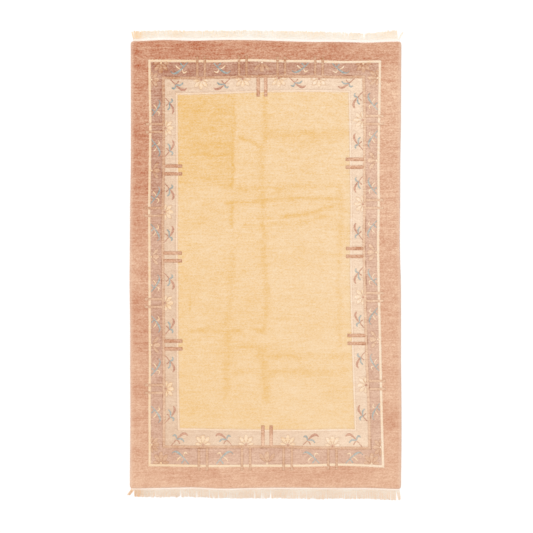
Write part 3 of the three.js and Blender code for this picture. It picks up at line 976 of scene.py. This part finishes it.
class Material(Tree):
    """A material with one principled shader."""

    def __init__(self, name):
        material = bpy.data.materials.new(name)
        material.use_nodes = True
        material.node_tree.nodes.clear()
        super().__init__(material.node_tree)
        self.material = material
        self.place = self.node("ShaderNodeTexCoord", out="Object")

    def noise(self, scale, detail, stretch=None):
        """Noise around zero. A stretch below 1 draws it out along that axis."""
        place = self.vector_math("MULTIPLY", self.place, stretch) if stretch else self.place
        sockets = {"Vector": place, "Scale": scale, "Detail": detail}
        return self.node("ShaderNodeTexNoise", inputs=sockets) - 0.5

    def bump(self, height, distance, strength):
        sockets = {"Height": height, "Distance": distance, "Strength": strength}
        return self.node("ShaderNodeBump", inputs=sockets)

    def finish(self, colour, normal, roughness=0.95, specular=0.15, glow=0.0):
        sockets = {
            "Base Color": colour, "Normal": normal, "Roughness": roughness, "Specular IOR Level": specular,
            "Emission Color": GLOW_COLOUR, "Emission Strength": glow,
        }
        shader = self.node("ShaderNodeBsdfPrincipled", inputs=sockets)
        self.node("ShaderNodeOutputMaterial", inputs={"Surface": shader})
        return self.material


# %% [markdown]
# ## How the wool changes over the rug
# The rug is paler towards one side and the near end and deeper at the top: painted light and shade from
# the lie of the pile. It is deeper in the creases, as painted shade. Each of these changes is a field over
# the rug, from 0 to about 1, and has a name.
# A table then says how much of each change each yarn shows. Finer mottling lies over all of it, in four
# sizes: single knots, rows of weft, patches of a few centimetres and slow changes over a hand's width.

# %% Names and shares of the changes
# where a change sets in and where it is full, as shares of the length from the top
SPANS = {
    "top end": (0.03, 0.12), "top corner": (0.1, 0.16), "past top bars": (0.1, 0.13),
    "near field": (0.58, 0.68), "near beige": (0.85, 0.95), "near end": (0.86, 0.92),
    "last rows": (0.9, 0.97),
}
# two pale spells along the left edge: each sets in over the first span and ends over the second
PALE_SPELLS = [((0.05, 0.08), (0.12, 0.22)), ((0.38, 0.43), (0.52, 0.62))]
# how far in from the left edge they fade out, as shares of the width
PALE_SIDE = (0.09, 0.15)
# the far side is the right one
# painted light and shade: paler to the right and towards the near end, deeper at the top
LIGHT_GRADIENT = {
    "base": 0.08, "far side": 0.78, "down": 0.72, "down, far side": -0.6, "far edge": 0.31,
    "down, far edge": -0.55, "top, far side": -0.55, "top, middle": -0.28, "last rows": 0.12,
    "pale spell": 0.18,
}
TONE_SHARES = {
    "rust": {"light_gradient": 1.0, "abrash": 1.0},
    "mauve": {"light_gradient": 1.1},
    "tan": {"base": 0.18, "light_gradient": 0.9, "near end": -0.25, "far corner": -0.25},
    "beige": {"base": 0.62, "across": 0.75, "down": -0.28, "near beige": 0.2},
    "guard": {"base": 0.34, "across": 0.5},
    "line": {"base": 0.35, "across": 0.4},
    "gold": {"base": 0.53, "across": 0.27, "folded": -0.32, "near field": -0.04, "creased": -0.8},
    "bars": {"base": 0.55, "light_gradient": 0.25, "past top bars": -0.35, "near end": 0.75},
    "cream": {"base": 0.2, "across": 0.5},
    "brown": {"base": 0.42, "light_gradient": 0.55},
    "blue": {"base": 0.35, "light_gradient": 0.65},
}
# the field above FOLDED_Y and to the left of FOLDED_X lay folded over, and is deeper in tone
FOLDED_X = -0.215
FOLDED_Y = 0.52
TOP_MOTTLE = 1.2
MOTTLE_LOSS = 0.45
# scale, detail, stretch and strength of each noise. Abrash is yarn of another dye bath, in bands.
ABRASH = {"bands": (9, 1.0, (0.1, 1.0, 1.0), 0.45), "blotches": (20, 2.0, (0.8, 1.0, 1.0), 0.45)}
MOTTLING = {
    "knots": (125, 2.0, (0.7, 1.0, 1.0), 2.2), "wefts": (95, 1.0, (0.1, 1.0, 1.0), 1.05),
    "middling": (34, 1.0, (0.6, 1.0, 1.0), 0.6), "broad": (4.5, 2.0, (0.6, 1.0, 1.0), 0.85),
}
print("changes of each yarn", {yarn: len(shares) for yarn, shares in TONE_SHARES.items()})

# %% The tone of each yarn
def layered(wool, noises):
    """Noises of several sizes, each with its strength."""
    return {name: wool.noise(*shape) * strength for name, (*shape, strength) in noises.items()}


def shared(shares, changes):
    """The sum of the changes, each by its share. The base is a plain number."""
    tone = shares.get("base", 0.0)
    for name, share in shares.items():
        if name != "base":
            tone = changes[name] * share + tone
    return tone


def across_and_down(wool):
    """The place on the rug, from 0 to 1, from the left and from the top."""
    x, y, _ = wool.split(wool.place)
    return x * (1 / PILE_WIDTH) + 0.5, 0.5 - y * (1 / PILE_LENGTH)


def place_changes(wool):
    """The changes that depend only on the place on the rug."""
    across, down = across_and_down(wool)
    changes = {name: wool.step(down, *span) for name, span in SPANS.items()}
    side = wool.math("MAXIMUM", across, 0.0)
    top = 1 - changes["top end"]
    spells = sum(wool.step(down, *begin) - wool.step(down, *end) for begin, end in PALE_SPELLS)
    changes.update({
        "across": across, "down": down, "down, far side": down * across,
        "far side": wool.math("POWER", side, 1.5), "far edge": wool.math("POWER", side, 4.0),
        "top, far side": top * across * across, "top, middle": top * across * (1 - across),
        "far corner": (1 - changes["top corner"]) * across * across,
        "pale spell": spells * (1 - wool.step(across, *PALE_SIDE)),
    })
    changes["down, far edge"] = changes["far edge"] * down
    changes["light_gradient"] = shared(LIGHT_GRADIENT, changes)
    return changes


def pile_tones(wool):
    """For each yarn, how far it is from its deep towards its pale tone before the mottling."""
    changes = place_changes(wool)
    x, y, _ = wool.split(wool.place)
    ragged = y + wool.noise(7, 2.0) * 0.12
    folded = wool.step(FOLDED_X - x, -0.012, 0.012) * wool.step(ragged, FOLDED_Y - 0.05, FOLDED_Y + 0.05)
    changes["folded"] = folded
    # painted shade in the creases
    changes["creased"] = wool.attribute("crease") * (0.95 + wool.noise(24, 2.0) * 1.7)
    abrash = layered(wool, ABRASH)
    changes["abrash"] = abrash["bands"] + abrash["blotches"]
    return {yarn: shared(shares, changes) for yarn, shares in TONE_SHARES.items()}


def mottling(wool):
    """The uneven take-up of the dye. The fine sizes are a little stronger towards the top."""
    _, down = across_and_down(wool)
    sizes = layered(wool, MOTTLING)
    fine = sizes["knots"] + sizes["wefts"] + sizes["middling"]
    return fine * (TOP_MOTTLE - MOTTLE_LOSS * down) + sizes["broad"]


# %% [markdown]
# ## The pile's material
# The colours are laid on from the outside in, as the weaver meets them: rust, the pale guard stripe, mauve,
# the tan ridge, beige, the pale inner line and the gold field. The figures come last. Each edge wavers by
# about a knot. The heart of each figure is a little paler than its rim, a painted highlight on the crown
# between its carved edges. The carved lines and the outlines of the figures are given painted shade,
# because little light reaches the bottom of a clipped groove.

# %% Pile material
# yarn, the line that its ground begins at, and how far inside that line
GROUNDS = [
    ("guard", "guard", -GUARD_WIDTH / 2 - 0.0012), ("mauve", "guard", GUARD_WIDTH / 2 + 0.001),
    ("tan", "ridge", -RIDGE_WIDTH), ("beige", "ridge", 0.0),
    ("line", "line", -LINE_WIDTH / 2 - 0.0005), ("gold", "line", LINE_WIDTH / 2 + 0.0005),
]
CROWN_HIGHLIGHT = {"tan": 0.15, "bars": 0.25, "cream": 0.25, "brown": 0.2, "blue": 0.6}
OUTLINE_SHADE = {"tan": 0.18, "bars": 0.16, "cream": 0.2, "brown": 0.0, "blue": 0.0}
EVENNESS = {"gold": 0.8, "guard": 0.6, "line": 0.6, "beige": 0.85, "mauve": 0.85, "tan": 0.75}
OUTLINE_SHADE_COLOUR = srgb(190, 142, 112)
GROOVE_SHADE = srgb(176, 118, 92)
GAP_SHADE = srgb(214, 170, 140)
RUBBED_AND_LIT = srgb(242, 212, 188)
KNOT = 0.004
WAVER = 0.004
STRIPE_BLUR = 0.0010
FIGURE_BLUR = 0.0008
CROWN_HIGHLIGHT_RISE = (-0.0060, -0.0010)
OUTLINE_SHADE_FADE = (0.0006, 0.0032)

# %% Wear, carving and knots
def rubbed_and_lit(wool, colour):
    """The wool at the two long edges is paler, and so are the last knots at the ends: partly wear, partly
    painted light on the rounded rim.
    """
    near = 1 - wool.step(wool.attribute("flank"), -0.006, 0.042)
    last = 1 - wool.step(wool.attribute("edge"), 0.0, 0.014)
    return wool.mix(wool.math("MAXIMUM", near * near * 0.75, last * 0.32), colour, RUBBED_AND_LIT)


def shaded(wool, colour):
    """Painted shade: the grooves are darker, and so is the outer foot of the tan ridge in places."""
    groove = wool.step(wool.attribute("carved") * (1 / STRIPE_DEPTH), 0.35, 1.0)
    foot = wool.math("ABSOLUTE", wool.attribute("ridge") + RIDGE_WIDTH)
    # painted shadow along the outer foot of the ridge, in patches
    patchy = (1 - wool.step(foot, 0.002, 0.006)) * wool.step(wool.noise(13, 1.0), 0.02, 0.16)
    return wool.mix(wool.math("MAXIMUM", groove * 0.2, patchy * 0.42), colour, GROOVE_SHADE, "MULTIPLY")


def knotted(wool, colour):
    """Cut knots in their rows: painted shade in the gaps between them, and the relief of the pile."""
    y = wool.split(wool.place)[1]
    tufts = {"Vector": wool.place, "Scale": 1 / KNOT, "Smoothness": 0.3, "Randomness": 0.7}
    tufts = wool.node("ShaderNodeTexVoronoi", {"feature": "SMOOTH_F1"}, tufts, out="Distance")
    rows = wool.math("SINE", y * (2 * math.pi / KNOT) + wool.noise(40, 1.0, (0.2, 1.0, 1.0)) * 5.0)
    # painted shade in the gaps between the knots
    gaps = wool.step(tufts - rows * 0.08, 0.30, 0.75)
    relief = wool.noise(900, 2.0) * 0.5 + rows * 0.12 - tufts
    return wool.mix(gaps * 0.24, colour, GAP_SHADE, "MULTIPLY"), wool.bump(relief, 0.0012, 0.8)

# %% All colours of the pile
def pile_material():
    wool = Material("pile wool")
    tones, mottle = pile_tones(wool), mottling(wool)
    waver = wool.noise(150, 1.0) * WAVER

    def dyed(yarn, lift=0.0):
        uneven = mottle * EVENNESS.get(yarn, 1.0)
        return wool.mix(tones[yarn] + uneven + lift, *DYES[yarn])

    colour = dyed("rust")
    for yarn, line, edge in GROUNDS:
        beyond = wool.attribute(line) + waver
        colour = wool.mix(wool.step(beyond, edge - STRIPE_BLUR, edge + STRIPE_BLUR), colour, dyed(yarn))
    for yarn in YARNS:
        outside = wool.attribute(yarn) + waver
        # painted highlight: the heart of each figure is paler than its rim
        heart = 1 - wool.step(outside, *CROWN_HIGHLIGHT_RISE)
        within = 1 - wool.step(outside, -FIGURE_BLUR, FIGURE_BLUR)
        colour = wool.mix(within, colour, dyed(yarn, heart * CROWN_HIGHLIGHT[yarn] - CROWN_HIGHLIGHT[yarn] * 0.5))
        # painted shade along the carved outline of the figure
        if OUTLINE_SHADE[yarn]:
            past = wool.step(wool.math("ABSOLUTE", outside), *OUTLINE_SHADE_FADE)
            outline_shade = OUTLINE_SHADE[yarn] - past * OUTLINE_SHADE[yarn]
            # cream figures on the mauve band get no painted outline shade
            if yarn == "cream":
                outline_shade = outline_shade * wool.step(wool.attribute("ridge"), -0.004, 0.0)
            colour = wool.mix(outline_shade, colour, OUTLINE_SHADE_COLOUR, "MULTIPLY")
    colour, normal = knotted(wool, shaded(wool, rubbed_and_lit(wool, colour)))
    return wool.finish(colour, normal)


pile.data.materials.append(pile_material())
print("pile material made")

# %% [markdown]
# ## Tufts round the rim
# At the rim the cut ends of the knots show from the side. Rows of short tufts stand out of the clipped edge,
# each row tipped a little lower than the one above. A guide point holds the way its tuft points, and the
# recipe puts a short five-sided stub there, with its own size.

# %% Rim tufts
# how far in from the rim, how high, and how steeply the tufts of the row rise, in degrees
TUFT_ROWS = [(5.2, 12.7, 64), (2.8, 11.3, 42), (1.1, 9.4, 22), (0.4, 7.3, 4), (1.2, 5.2, -14)]
TUFT_SPACING = 0.0046
TUFT_TILT = 12
TUFT_LEAN = 0.3
TUFT_WANDER = 0.001
TUFT_TUCK = 0.0012


def fill_tuft_recipe(recipe):
    sizes = {"Vertices": 5, "Radius Top": recipe.given["Tip"], "Radius Bottom": recipe.given["Root"]}
    stub = recipe.node("GeometryNodeMeshCone", inputs={**sizes, "Depth": recipe.given["Length"]}, out="Mesh")
    aim = {"Vector": recipe.field("aim", "FLOAT_VECTOR")}
    aim = recipe.node("FunctionNodeAlignRotationToVector", {"axis": "Z"}, aim)
    size = {"Min_001": recipe.given["Least"], "Max_001": recipe.given["Most"], "Seed": recipe.given["Seed"]}
    size = recipe.node("FunctionNodeRandomValue", {"data_type": "FLOAT"}, size, out="Value_001")
    placed = {"Points": recipe.given["Guide"], "Instance": stub, "Rotation": aim, "Scale": size}
    recipe.finish(recipe.node("GeometryNodeInstanceOnPoints", inputs=placed))

# %% Guide and wool of the tufts
def tuft_guide():
    places, aims = [], []
    for row, (inset, height, rise) in enumerate(TUFT_ROWS):
        line = ring("edge", inset * MM, TUFT_SPACING, CORNER_RADIUS)
        outward = ring("edge", (inset - 1) * MM, TUFT_SPACING, CORNER_RADIUS) - line
        outward /= np.linalg.norm(outward, axis=1)[:, None]
        index = np.arange(len(line))
        tilt = np.radians(rise + TUFT_TILT * scatter(index, row + 3))
        sideways = TUFT_LEAN * scatter(index, row + 9)
        run = np.stack([-outward[:, 1], outward[:, 0]], axis=1)
        flat = outward * np.cos(tilt)[:, None] + run * sideways[:, None]
        aim = np.column_stack([flat, np.sin(tilt)])
        line = line + run * (TUFT_WANDER * scatter(index, row + 15))[:, None]
        places.append(np.column_stack([line, np.full(len(line), height * MM)]) - aim * TUFT_TUCK)
        aims.append(aim)
    places, aims = np.concatenate(places), np.concatenate(aims)
    return mesh_object("guide_tufts", places, [], {"aim": aims, "flank": from_flanks(places[:, :2])})


def tuft_material():
    wool = Material("rim wool")
    colour = wool.mix(pile_tones(wool)["rust"] + mottling(wool), *DYES["rust"])
    return wool.finish(rubbed_and_lit(wool, colour), wool.bump(wool.noise(900, 2.0), 0.0003, 0.5))

# %% Grow the tufts
tuft_recipe = Recipe("rim tufts", {
    "Root": "NodeSocketFloat", "Tip": "NodeSocketFloat", "Length": "NodeSocketFloat",
    "Least": "NodeSocketFloat", "Most": "NodeSocketFloat", "Seed": "NodeSocketInt",
})
fill_tuft_recipe(tuft_recipe)
tuft_values = {"Root": 0.0018, "Tip": 0.0014, "Length": 0.0022, "Least": 0.75, "Most": 1.25, "Seed": 5}
tufts = grown("rim_tufts", tuft_guide(), tuft_recipe, {**tuft_values, "Material": tuft_material()})

# %% [markdown]
# ## The woven ends
# Beyond the last row of knots the weaver goes on with a plain cotton weave. It holds the knots in, and the
# warp comes out of its far edge as fringe. Seen close, it is a row of weft ribs. The strip follows the
# wavy rim, so it is built as rows of points along that line, raised and lowered for each rib.

# %% Woven end bands
# band: its width. insets: how far it stops short of the pile's corners. turn: which way out is. splits:
# where the fringe parts, how far the tips on its left and right lean away, and how far along that dies out.
ENDS = {
    "top": {"band": 21, "insets": (10, 6), "salt": 1, "turn": 1, "splits": [
        (-901, 0, -24, 35), (60, 2, 3, 30), (556, 3, 3, 24), (663, 6, 5, 30), (884, 6, 36, 26),
    ]},
    "bottom": {"band": 14, "insets": (1, 4), "salt": 2, "turn": -1, "splits": [
        (-872, 26, 0, 400), (-866, 0, 3, 30), (-568, 4, 3, 26), (-514, 2, 3, 22), (-462, 4, 3, 26),
        (-372, 3, 2, 24), (-318, 2, 3, 16), (-78, 2, 3, 26), (-28, 3, 3, 24), (33, 3, 4, 24),
        (182, 2, 2, 14), (220, 4, 5, 20), (272, 2, 3, 24), (366, 3, 2, 26), (406, 3, 3, 24),
        (516, 2, 3, 26), (610, 3, 2, 26), (840, 3, 3, 24), (868, 1, 22, 26),
    ]},
}
BAND_THICKNESS = 0.0028
BAND_TUCK = 0.0026
RIB = 0.0026
BAND_STATION = 0.006
BAND_LIFT = 0.0001
BAND_WAVES = 50
RIB_ROUNDNESS = 0.7
# heights, as shares of the band's thickness
FLAT_SHARE = 0.72
RIB_SHARE = 0.2
UNEVEN_SHARE = 0.08
EDGE_SHARE = 0.4
CORNER_TUCK = 0.003

# %% A ribbed strip along the rim
def band_reach(name):
    """The first and the last place of the woven band along an end."""
    left, right = (corner(side, name, "edge", CORNER_TUCK)[0] for side in ("left", "right"))
    insets = ENDS[name]["insets"]
    return left + insets[0] * MM, right - insets[1] * MM


def beyond_rim(name, along, beyond):
    """Points beyond the rim of an end, for places along it."""
    side = SIDES[name]
    return side.place(along, -side.column("edge", along) - beyond)


def band(name):
    left, right = band_reach(name)
    width = ENDS[name]["band"] * MM
    stations = np.linspace(left, right, round((right - left) / BAND_STATION) + 1)
    ribs = round((width + BAND_TUCK) / RIB)
    crosswise = np.linspace(-BAND_TUCK, width, 4 * ribs + 1)
    phase = (crosswise + BAND_TUCK) / (width + BAND_TUCK) * ribs
    arch = np.abs(np.sin(np.pi * phase)) ** RIB_ROUNDNESS
    grid = []
    for place in stations:
        uneven = noise.noise(Vector((place * BAND_WAVES, 3.0 * ENDS[name]["salt"], 0)))
        heights = BAND_THICKNESS * (FLAT_SHARE + RIB_SHARE * arch + UNEVEN_SHARE * uneven)
        heights[[0, -1]] = BAND_THICKNESS * EDGE_SHARE
        grid.append(np.column_stack([beyond_rim(name, np.full(len(crosswise), place), crosswise), heights]))
    upper = np.array(grid)
    lower = upper.copy()
    lower[..., 2] = BAND_LIFT
    rows, columns = upper.shape[:2]
    index = np.arange(rows * columns).reshape(rows, columns)
    faces = []
    for a, b in ((index, 1), (index + rows * columns, -1)):
        cells = np.stack([a[:-1, :-1], a[1:, :-1], a[1:, 1:], a[:-1, 1:]], axis=-1).reshape(-1, 4)
        faces += cells[:, ::b * ENDS[name]["turn"]].tolist()
    border = np.concatenate([index[0, :-1], index[:-1, -1], index[-1, :0:-1], index[:0:-1, 0]])
    if ENDS[name]["turn"] < 0:
        border = border[::-1]
    faces += quads(border[::-1], border[::-1] + rows * columns)
    vertices = np.concatenate([upper.reshape(-1, 3), lower.reshape(-1, 3)])
    along = np.repeat(stations, columns)
    return mesh_object("woven_band_" + name, vertices, faces, {"along": np.concatenate([along, along])})


bands = {name: band(name) for name in ENDS}
print({name: triangle_count(piece) for name, piece in bands.items()})

# %% [markdown]
# ## Cotton
# The warp and the ends are undyed cotton: almost white, with a little of the wool's colour rubbed into it.
# The root of the fringe is paler than its tips, painted light against the shade where the strands crowd
# together. The cotton at the left corners is a little deeper in colour. Thin pale yarn lets light through
# from its far side. A faint glow stands for that, because it costs nothing to render.

# %% Cotton material
CORNER_FROM = 0.80
BAND_THREADS = 2400
FRINGE_THREADS = 1200
BAND_RELIEF = 0.0004
FRINGE_RELIEF = 0.0001


def cotton_material(name, deep, pale, threads, relief, glow=0.0):
    cotton = Material(name)
    x = cotton.split(cotton.place)[0]
    soiled = cotton.step(x * -1, CORNER_FROM, CORNER_FROM + 0.05)
    # painted light: the root is paler than the tip, against the shade where the strands crowd
    tone = 0.7 - cotton.attribute("t") * 0.5 + cotton.noise(90, 2.0) * 1.2 + cotton.noise(6, 1.0) * 1.2
    tone = tone - soiled * 0.9
    colour = cotton.mix(tone, deep, pale)
    wave = cotton.math("SINE", x * threads + cotton.noise(60, 1.0) * 3.0)
    normal = cotton.bump(wave * 0.5 + cotton.noise(900, 2.0), relief, 0.6)
    return cotton.finish(colour, normal, 0.9, glow=glow)

# %% Band and fringe cotton
# deep tone, pale tone and glow
BAND_TONES = {
    "top": (srgb(253, 239, 225), srgb(255, 250, 243), 0.035),
    "bottom": (srgb(249, 229, 212), srgb(255, 244, 232), 0.0),
}
FRINGE_TONES = {
    "top": (srgb(254, 234, 208), srgb(255, 252, 245), 0.05),
    "bottom": (srgb(250, 223, 196), srgb(255, 244, 230), 0.0),
}
band_cotton = {
    end: cotton_material("band cotton " + end, deep, pale, BAND_THREADS, BAND_RELIEF, glow)
    for end, (deep, pale, glow) in BAND_TONES.items()
}
fringe_cotton = {
    end: cotton_material("fringe cotton " + end, deep, pale, FRINGE_THREADS, FRINGE_RELIEF, glow)
    for end, (deep, pale, glow) in FRINGE_TONES.items()
}
for name, piece in bands.items():
    piece.data.materials.append(band_cotton[name])
print("cotton", [material.name for material in (*band_cotton.values(), *fringe_cotton.values())])

# %% [markdown]
# ## The twined row
# Where the weave ends, two cotton threads are twined round the warp all the way across, so that nothing
# slips. The photo shows it as a fine line at the root of the fringe. The guide is one line along the end
# of the weave, and the recipe sweeps a two-ply cut along it, turning as it goes.

# %% Twined rows
PLY_SIDES = 5


def fill_cord_recipe(recipe):
    line = recipe.node("GeometryNodeMeshToCurve", inputs={"Mesh": recipe.given["Guide"]})
    steps = {"Curve": line, "Length": recipe.given["Step"]}
    line = recipe.node("GeometryNodeResampleCurve", {"mode": "LENGTH"}, steps)
    gone = recipe.node("GeometryNodeSplineParameter", out="Length")
    turned = {"Curve": line, "Tilt": gone * recipe.given["Twist"] * (2 * math.pi)}
    line = recipe.node("GeometryNodeSetCurveTilt", inputs=turned)
    radius = recipe.given["Ply Radius"]
    yarn = {"Curve": line, "Profile Curve": recipe.plies(radius, radius, PLY_SIDES), "Fill Caps": True}
    recipe.finish(recipe.node("GeometryNodeCurveToMesh", inputs=yarn))


cord_recipe = Recipe("twined cord", {
    "Step": "NodeSocketFloat", "Twist": "NodeSocketFloat", "Ply Radius": "NodeSocketFloat",
})
fill_cord_recipe(cord_recipe)
CORD_VALUES = {"Step": 0.0019, "Twist": 132.0, "Ply Radius": 0.00065}
CORD_POINTS = 300
CORD_INSET = 0.001
CORD_BACK = 0.0022
CORD_SINK = 0.0002

# %% Grow the twined rows
def twined_row(name):
    left, right = band_reach(name)
    along = np.linspace(left + CORD_INSET, right - CORD_INSET, CORD_POINTS)
    flat = beyond_rim(name, along, np.full(len(along), ENDS[name]["band"] * MM - CORD_BACK))
    points = np.column_stack([flat, np.full(len(along), BAND_THICKNESS - CORD_SINK)])
    edges = [(index, index + 1) for index in range(len(along) - 1)]
    guide = mesh_object("guide_twined_" + name, points, [], edges=edges)
    return grown("twined_row_" + name, guide, cord_recipe, {**CORD_VALUES, "Material": band_cotton[name]})


twined = {name: twined_row(name) for name in ENDS}

# %% [markdown]
# ## The fringe
# The fringe is the warp itself. Its strands come out in small groups, part here and there, and lean a little
# more towards their tips. The guide has one point per strand at its root, with the way to its tip. The
# recipe puts a straight line on each point, bends it along, twists it and gives it the cut of a
# two-ply yarn.

# %% Fringe recipe
fringe_recipe = Recipe("fringe strands", {
    "Steps": "NodeSocketInt", "Ply Radius": "NodeSocketFloat", "Turns": "NodeSocketFloat",
    "Sway": "NodeSocketFloat",
})


SWAY_WAVES = 5.0
LIFT_WAVES = 3.0
LIFT = 1.5
PLY_APART = 0.7


def fill_fringe_recipe(recipe):
    line = recipe.node("GeometryNodeCurvePrimitiveLine", inputs={"Start": (0, 0, 0), "End": (0.001, 0, 0)})
    line = recipe.node("GeometryNodeResampleCurve", inputs={"Curve": line, "Count": recipe.given["Steps"]})
    share = recipe.node("GeometryNodeSplineParameter", out="Factor")
    stored = {"Geometry": line, "Name": "t", "Value": share}
    line = recipe.node("GeometryNodeStoreNamedAttribute", inputs=stored)
    strands = {"Points": recipe.given["Guide"], "Instance": line}
    strands = recipe.node("GeometryNodeInstanceOnPoints", inputs=strands)
    strands = recipe.node("GeometryNodeRealizeInstances", inputs={"Geometry": strands})
    t, phase = recipe.field("t"), recipe.field("phase")
    root, reach = recipe.field("root", "FLOAT_VECTOR"), recipe.field("reach", "FLOAT_VECTOR")
    x, y, z = recipe.split(reach)
    sway = recipe.math("SINE", t * SWAY_WAVES + phase) - recipe.math("SINE", phase)
    lift = (recipe.math("SINE", t * LIFT_WAVES + phase * 2.0) + 1.0) * t * (1 - t)
    bent = recipe.vector(
        x * t + sway * recipe.given["Sway"] * t,
        y * t,
        z * t + lift * recipe.given["Ply Radius"] * LIFT,
    )
    place = recipe.vector_math("ADD", root, bent)
    strands = recipe.node("GeometryNodeSetPosition", inputs={"Geometry": strands, "Position": place})
    tilt = t * recipe.given["Turns"] * (2 * math.pi) + phase
    strands = recipe.node("GeometryNodeSetCurveTilt", inputs={"Curve": strands, "Tilt": tilt})
    radius = recipe.given["Ply Radius"]
    profile = recipe.plies(radius, radius * PLY_APART, PLY_SIDES)
    yarn = {"Curve": strands, "Profile Curve": profile, "Fill Caps": True}
    recipe.finish(recipe.node("GeometryNodeCurveToMesh", inputs=yarn))


fill_fringe_recipe(fringe_recipe)

# %% Grow the fringe
LOCKS = 150
STRANDS = 5
LOCK_FILL = 0.98
TIP_FILL = 0.88
RAGGED = 0.004
STRAND_VALUES = {"Steps": 10, "Ply Radius": 0.0009, "Turns": 2.25, "Sway": 0.0006}
STRAND_HEIGHT = 0.0016
STRAND_UNEVEN = 0.0002
LOCK_WANDER = 0.0008
TIP_WANDER = 0.0012
ROOT_TUCK = 0.002
STRAND_RAGGED = 0.8
PHASES = 3.1


def tip_lean(name, along):
    """How far a tip leans sideways, away from each place where the fringe parts."""
    lean = np.zeros(len(along))
    for at, left, right, reach in ENDS[name]["splits"]:
        away = along - at * MM
        lean += np.where(away < 0, -left, right) * MM * np.exp(-np.abs(away) / (reach * MM))
    return lean


def fringe(name):
    plan, side = ENDS[name], SIDES[name]
    left, right = band_reach(name)
    pitch = (right - left) / LOCKS
    lock = np.repeat(np.arange(LOCKS), STRANDS)
    strand = np.arange(LOCKS * STRANDS)
    middle = left + (lock + 0.5) * pitch
    offset = (np.tile(np.arange(STRANDS), LOCKS) + 0.5) / STRANDS - 0.5
    start = middle + offset * pitch * LOCK_FILL
    root = beyond_rim(name, start, np.full(len(start), plan["band"] * MM - ROOT_TUCK))
    length = side.column("tip", middle) + RAGGED * scatter(lock, plan["salt"])
    length += RAGGED * STRAND_RAGGED * scatter(strand, 11) - side.column("edge", middle) - plan["band"] * MM
    lean = tip_lean(name, middle) + LOCK_WANDER * scatter(lock, plan["salt"] + 5)
    closer = offset * pitch * (LOCK_FILL - TIP_FILL)
    sideways = lean - closer + TIP_WANDER * scatter(strand, 21)
    out = np.sqrt(length ** 2 - lean ** 2) + ROOT_TUCK
    heights = STRAND_HEIGHT + STRAND_UNEVEN * scatter(strand, 31)
    roots = np.column_stack([root + SHIFT, heights])
    reach = np.column_stack([sideways, out * plan["turn"], STRAND_HEIGHT - heights])
    guide = mesh_object("guide_" + name, np.column_stack([root, heights]), [], {
        "root": roots, "reach": reach, "phase": PHASES * scatter(strand, 41),
    })
    values = {**STRAND_VALUES, "Material": fringe_cotton[name]}
    return grown("fringe_strands_" + name, guide, fringe_recipe, values)


fringes = {name: fringe(name) for name in ENDS}

# %% [markdown]
# ## Camera, light and floor
# The rug was photographed from straight above, and it fills most of a square frame. A long lens high over
# the rug gives that view. Light comes softly from all sides, with a broad key from almost overhead, a little
# from the far left, so that the carved lines keep a faint shadow.

# %% Camera, lights, floor
PIXELS = 533
PIXEL_SIZE = 0.02 / 3
CAMERA_HEIGHT = 8.0
SENSOR = 36.0
VIEW_CENTRE = (0.00633, -0.01367)
camera_data = bpy.data.cameras.new("camera")
camera_data.sensor_width = SENSOR
camera_data.lens = SENSOR * (CAMERA_HEIGHT - THICKNESS) / (PIXELS * PIXEL_SIZE)
camera = bpy.data.objects.new("camera", camera_data)
camera.location = (VIEW_CENTRE[0] + SHIFT[0], VIEW_CENTRE[1] + SHIFT[1], CAMERA_HEIGHT)
bpy.context.collection.objects.link(camera)
bpy.context.scene.camera = camera

KEY_SHARE = 0.44
FILL_SHARE = 0.64
KEY_TILT = math.radians(16)
KEY_TURN = math.radians(215)
KEY_BREADTH = math.radians(25)
key_data = bpy.data.lights.new("key", "SUN")
key_data.energy = KEY_SHARE * math.pi / math.cos(KEY_TILT)
key_data.angle = KEY_BREADTH
key = bpy.data.objects.new("key", key_data)
key.rotation_euler = (KEY_TILT, 0, KEY_TURN)
bpy.context.collection.objects.link(key)

world = bpy.data.worlds.new("soft box")
world.use_nodes = True
sky = world.node_tree.nodes["Background"].inputs
sky["Color"].default_value = (1, 1, 1, 1)
sky["Strength"].default_value = FILL_SHARE
bpy.context.scene.world = world
bpy.context.scene.view_settings.view_transform = "Standard"
print("lens", round(camera_data.lens, 1), "key", round(key_data.energy, 2), "sky", FILL_SHARE)

FLOOR_HALF = 9.0
FLOOR_DROP = 0.0002


def floor_material():
    paint = Material("floor paint")
    tone = paint.mix(0.5 + paint.noise(3.0, 2.0), (0.98, 0.98, 0.98, 1), (1.0, 1.0, 1.0, 1))
    return paint.finish(tone, paint.bump(paint.noise(400, 2.0), 0.0002, 0.2), 0.9, 0.1)


corners = [(-1, -1), (1, -1), (1, 1), (-1, 1)]
floor_points = [(x * FLOOR_HALF, y * FLOOR_HALF, -FLOOR_DROP) for x, y in corners]
floor = mesh_object("floor", floor_points, [(0, 1, 2, 3)])
floor.data.materials.append(floor_material())

# %% [markdown]
# ## Attach the pieces
# Every piece rides with the rug's one body. The dressed pieces stand in for the model's plain solids,
# which are hidden.

# %% Attach the pieces and hide the solids
for name in ENDS:
    for piece in (bands[name], fringes[name]):
        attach(piece, "root")
        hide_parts("fringe_" + name)
    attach(twined[name], "root")
for piece in (pile, tufts):
    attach(piece, "root")
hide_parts("rug_body")
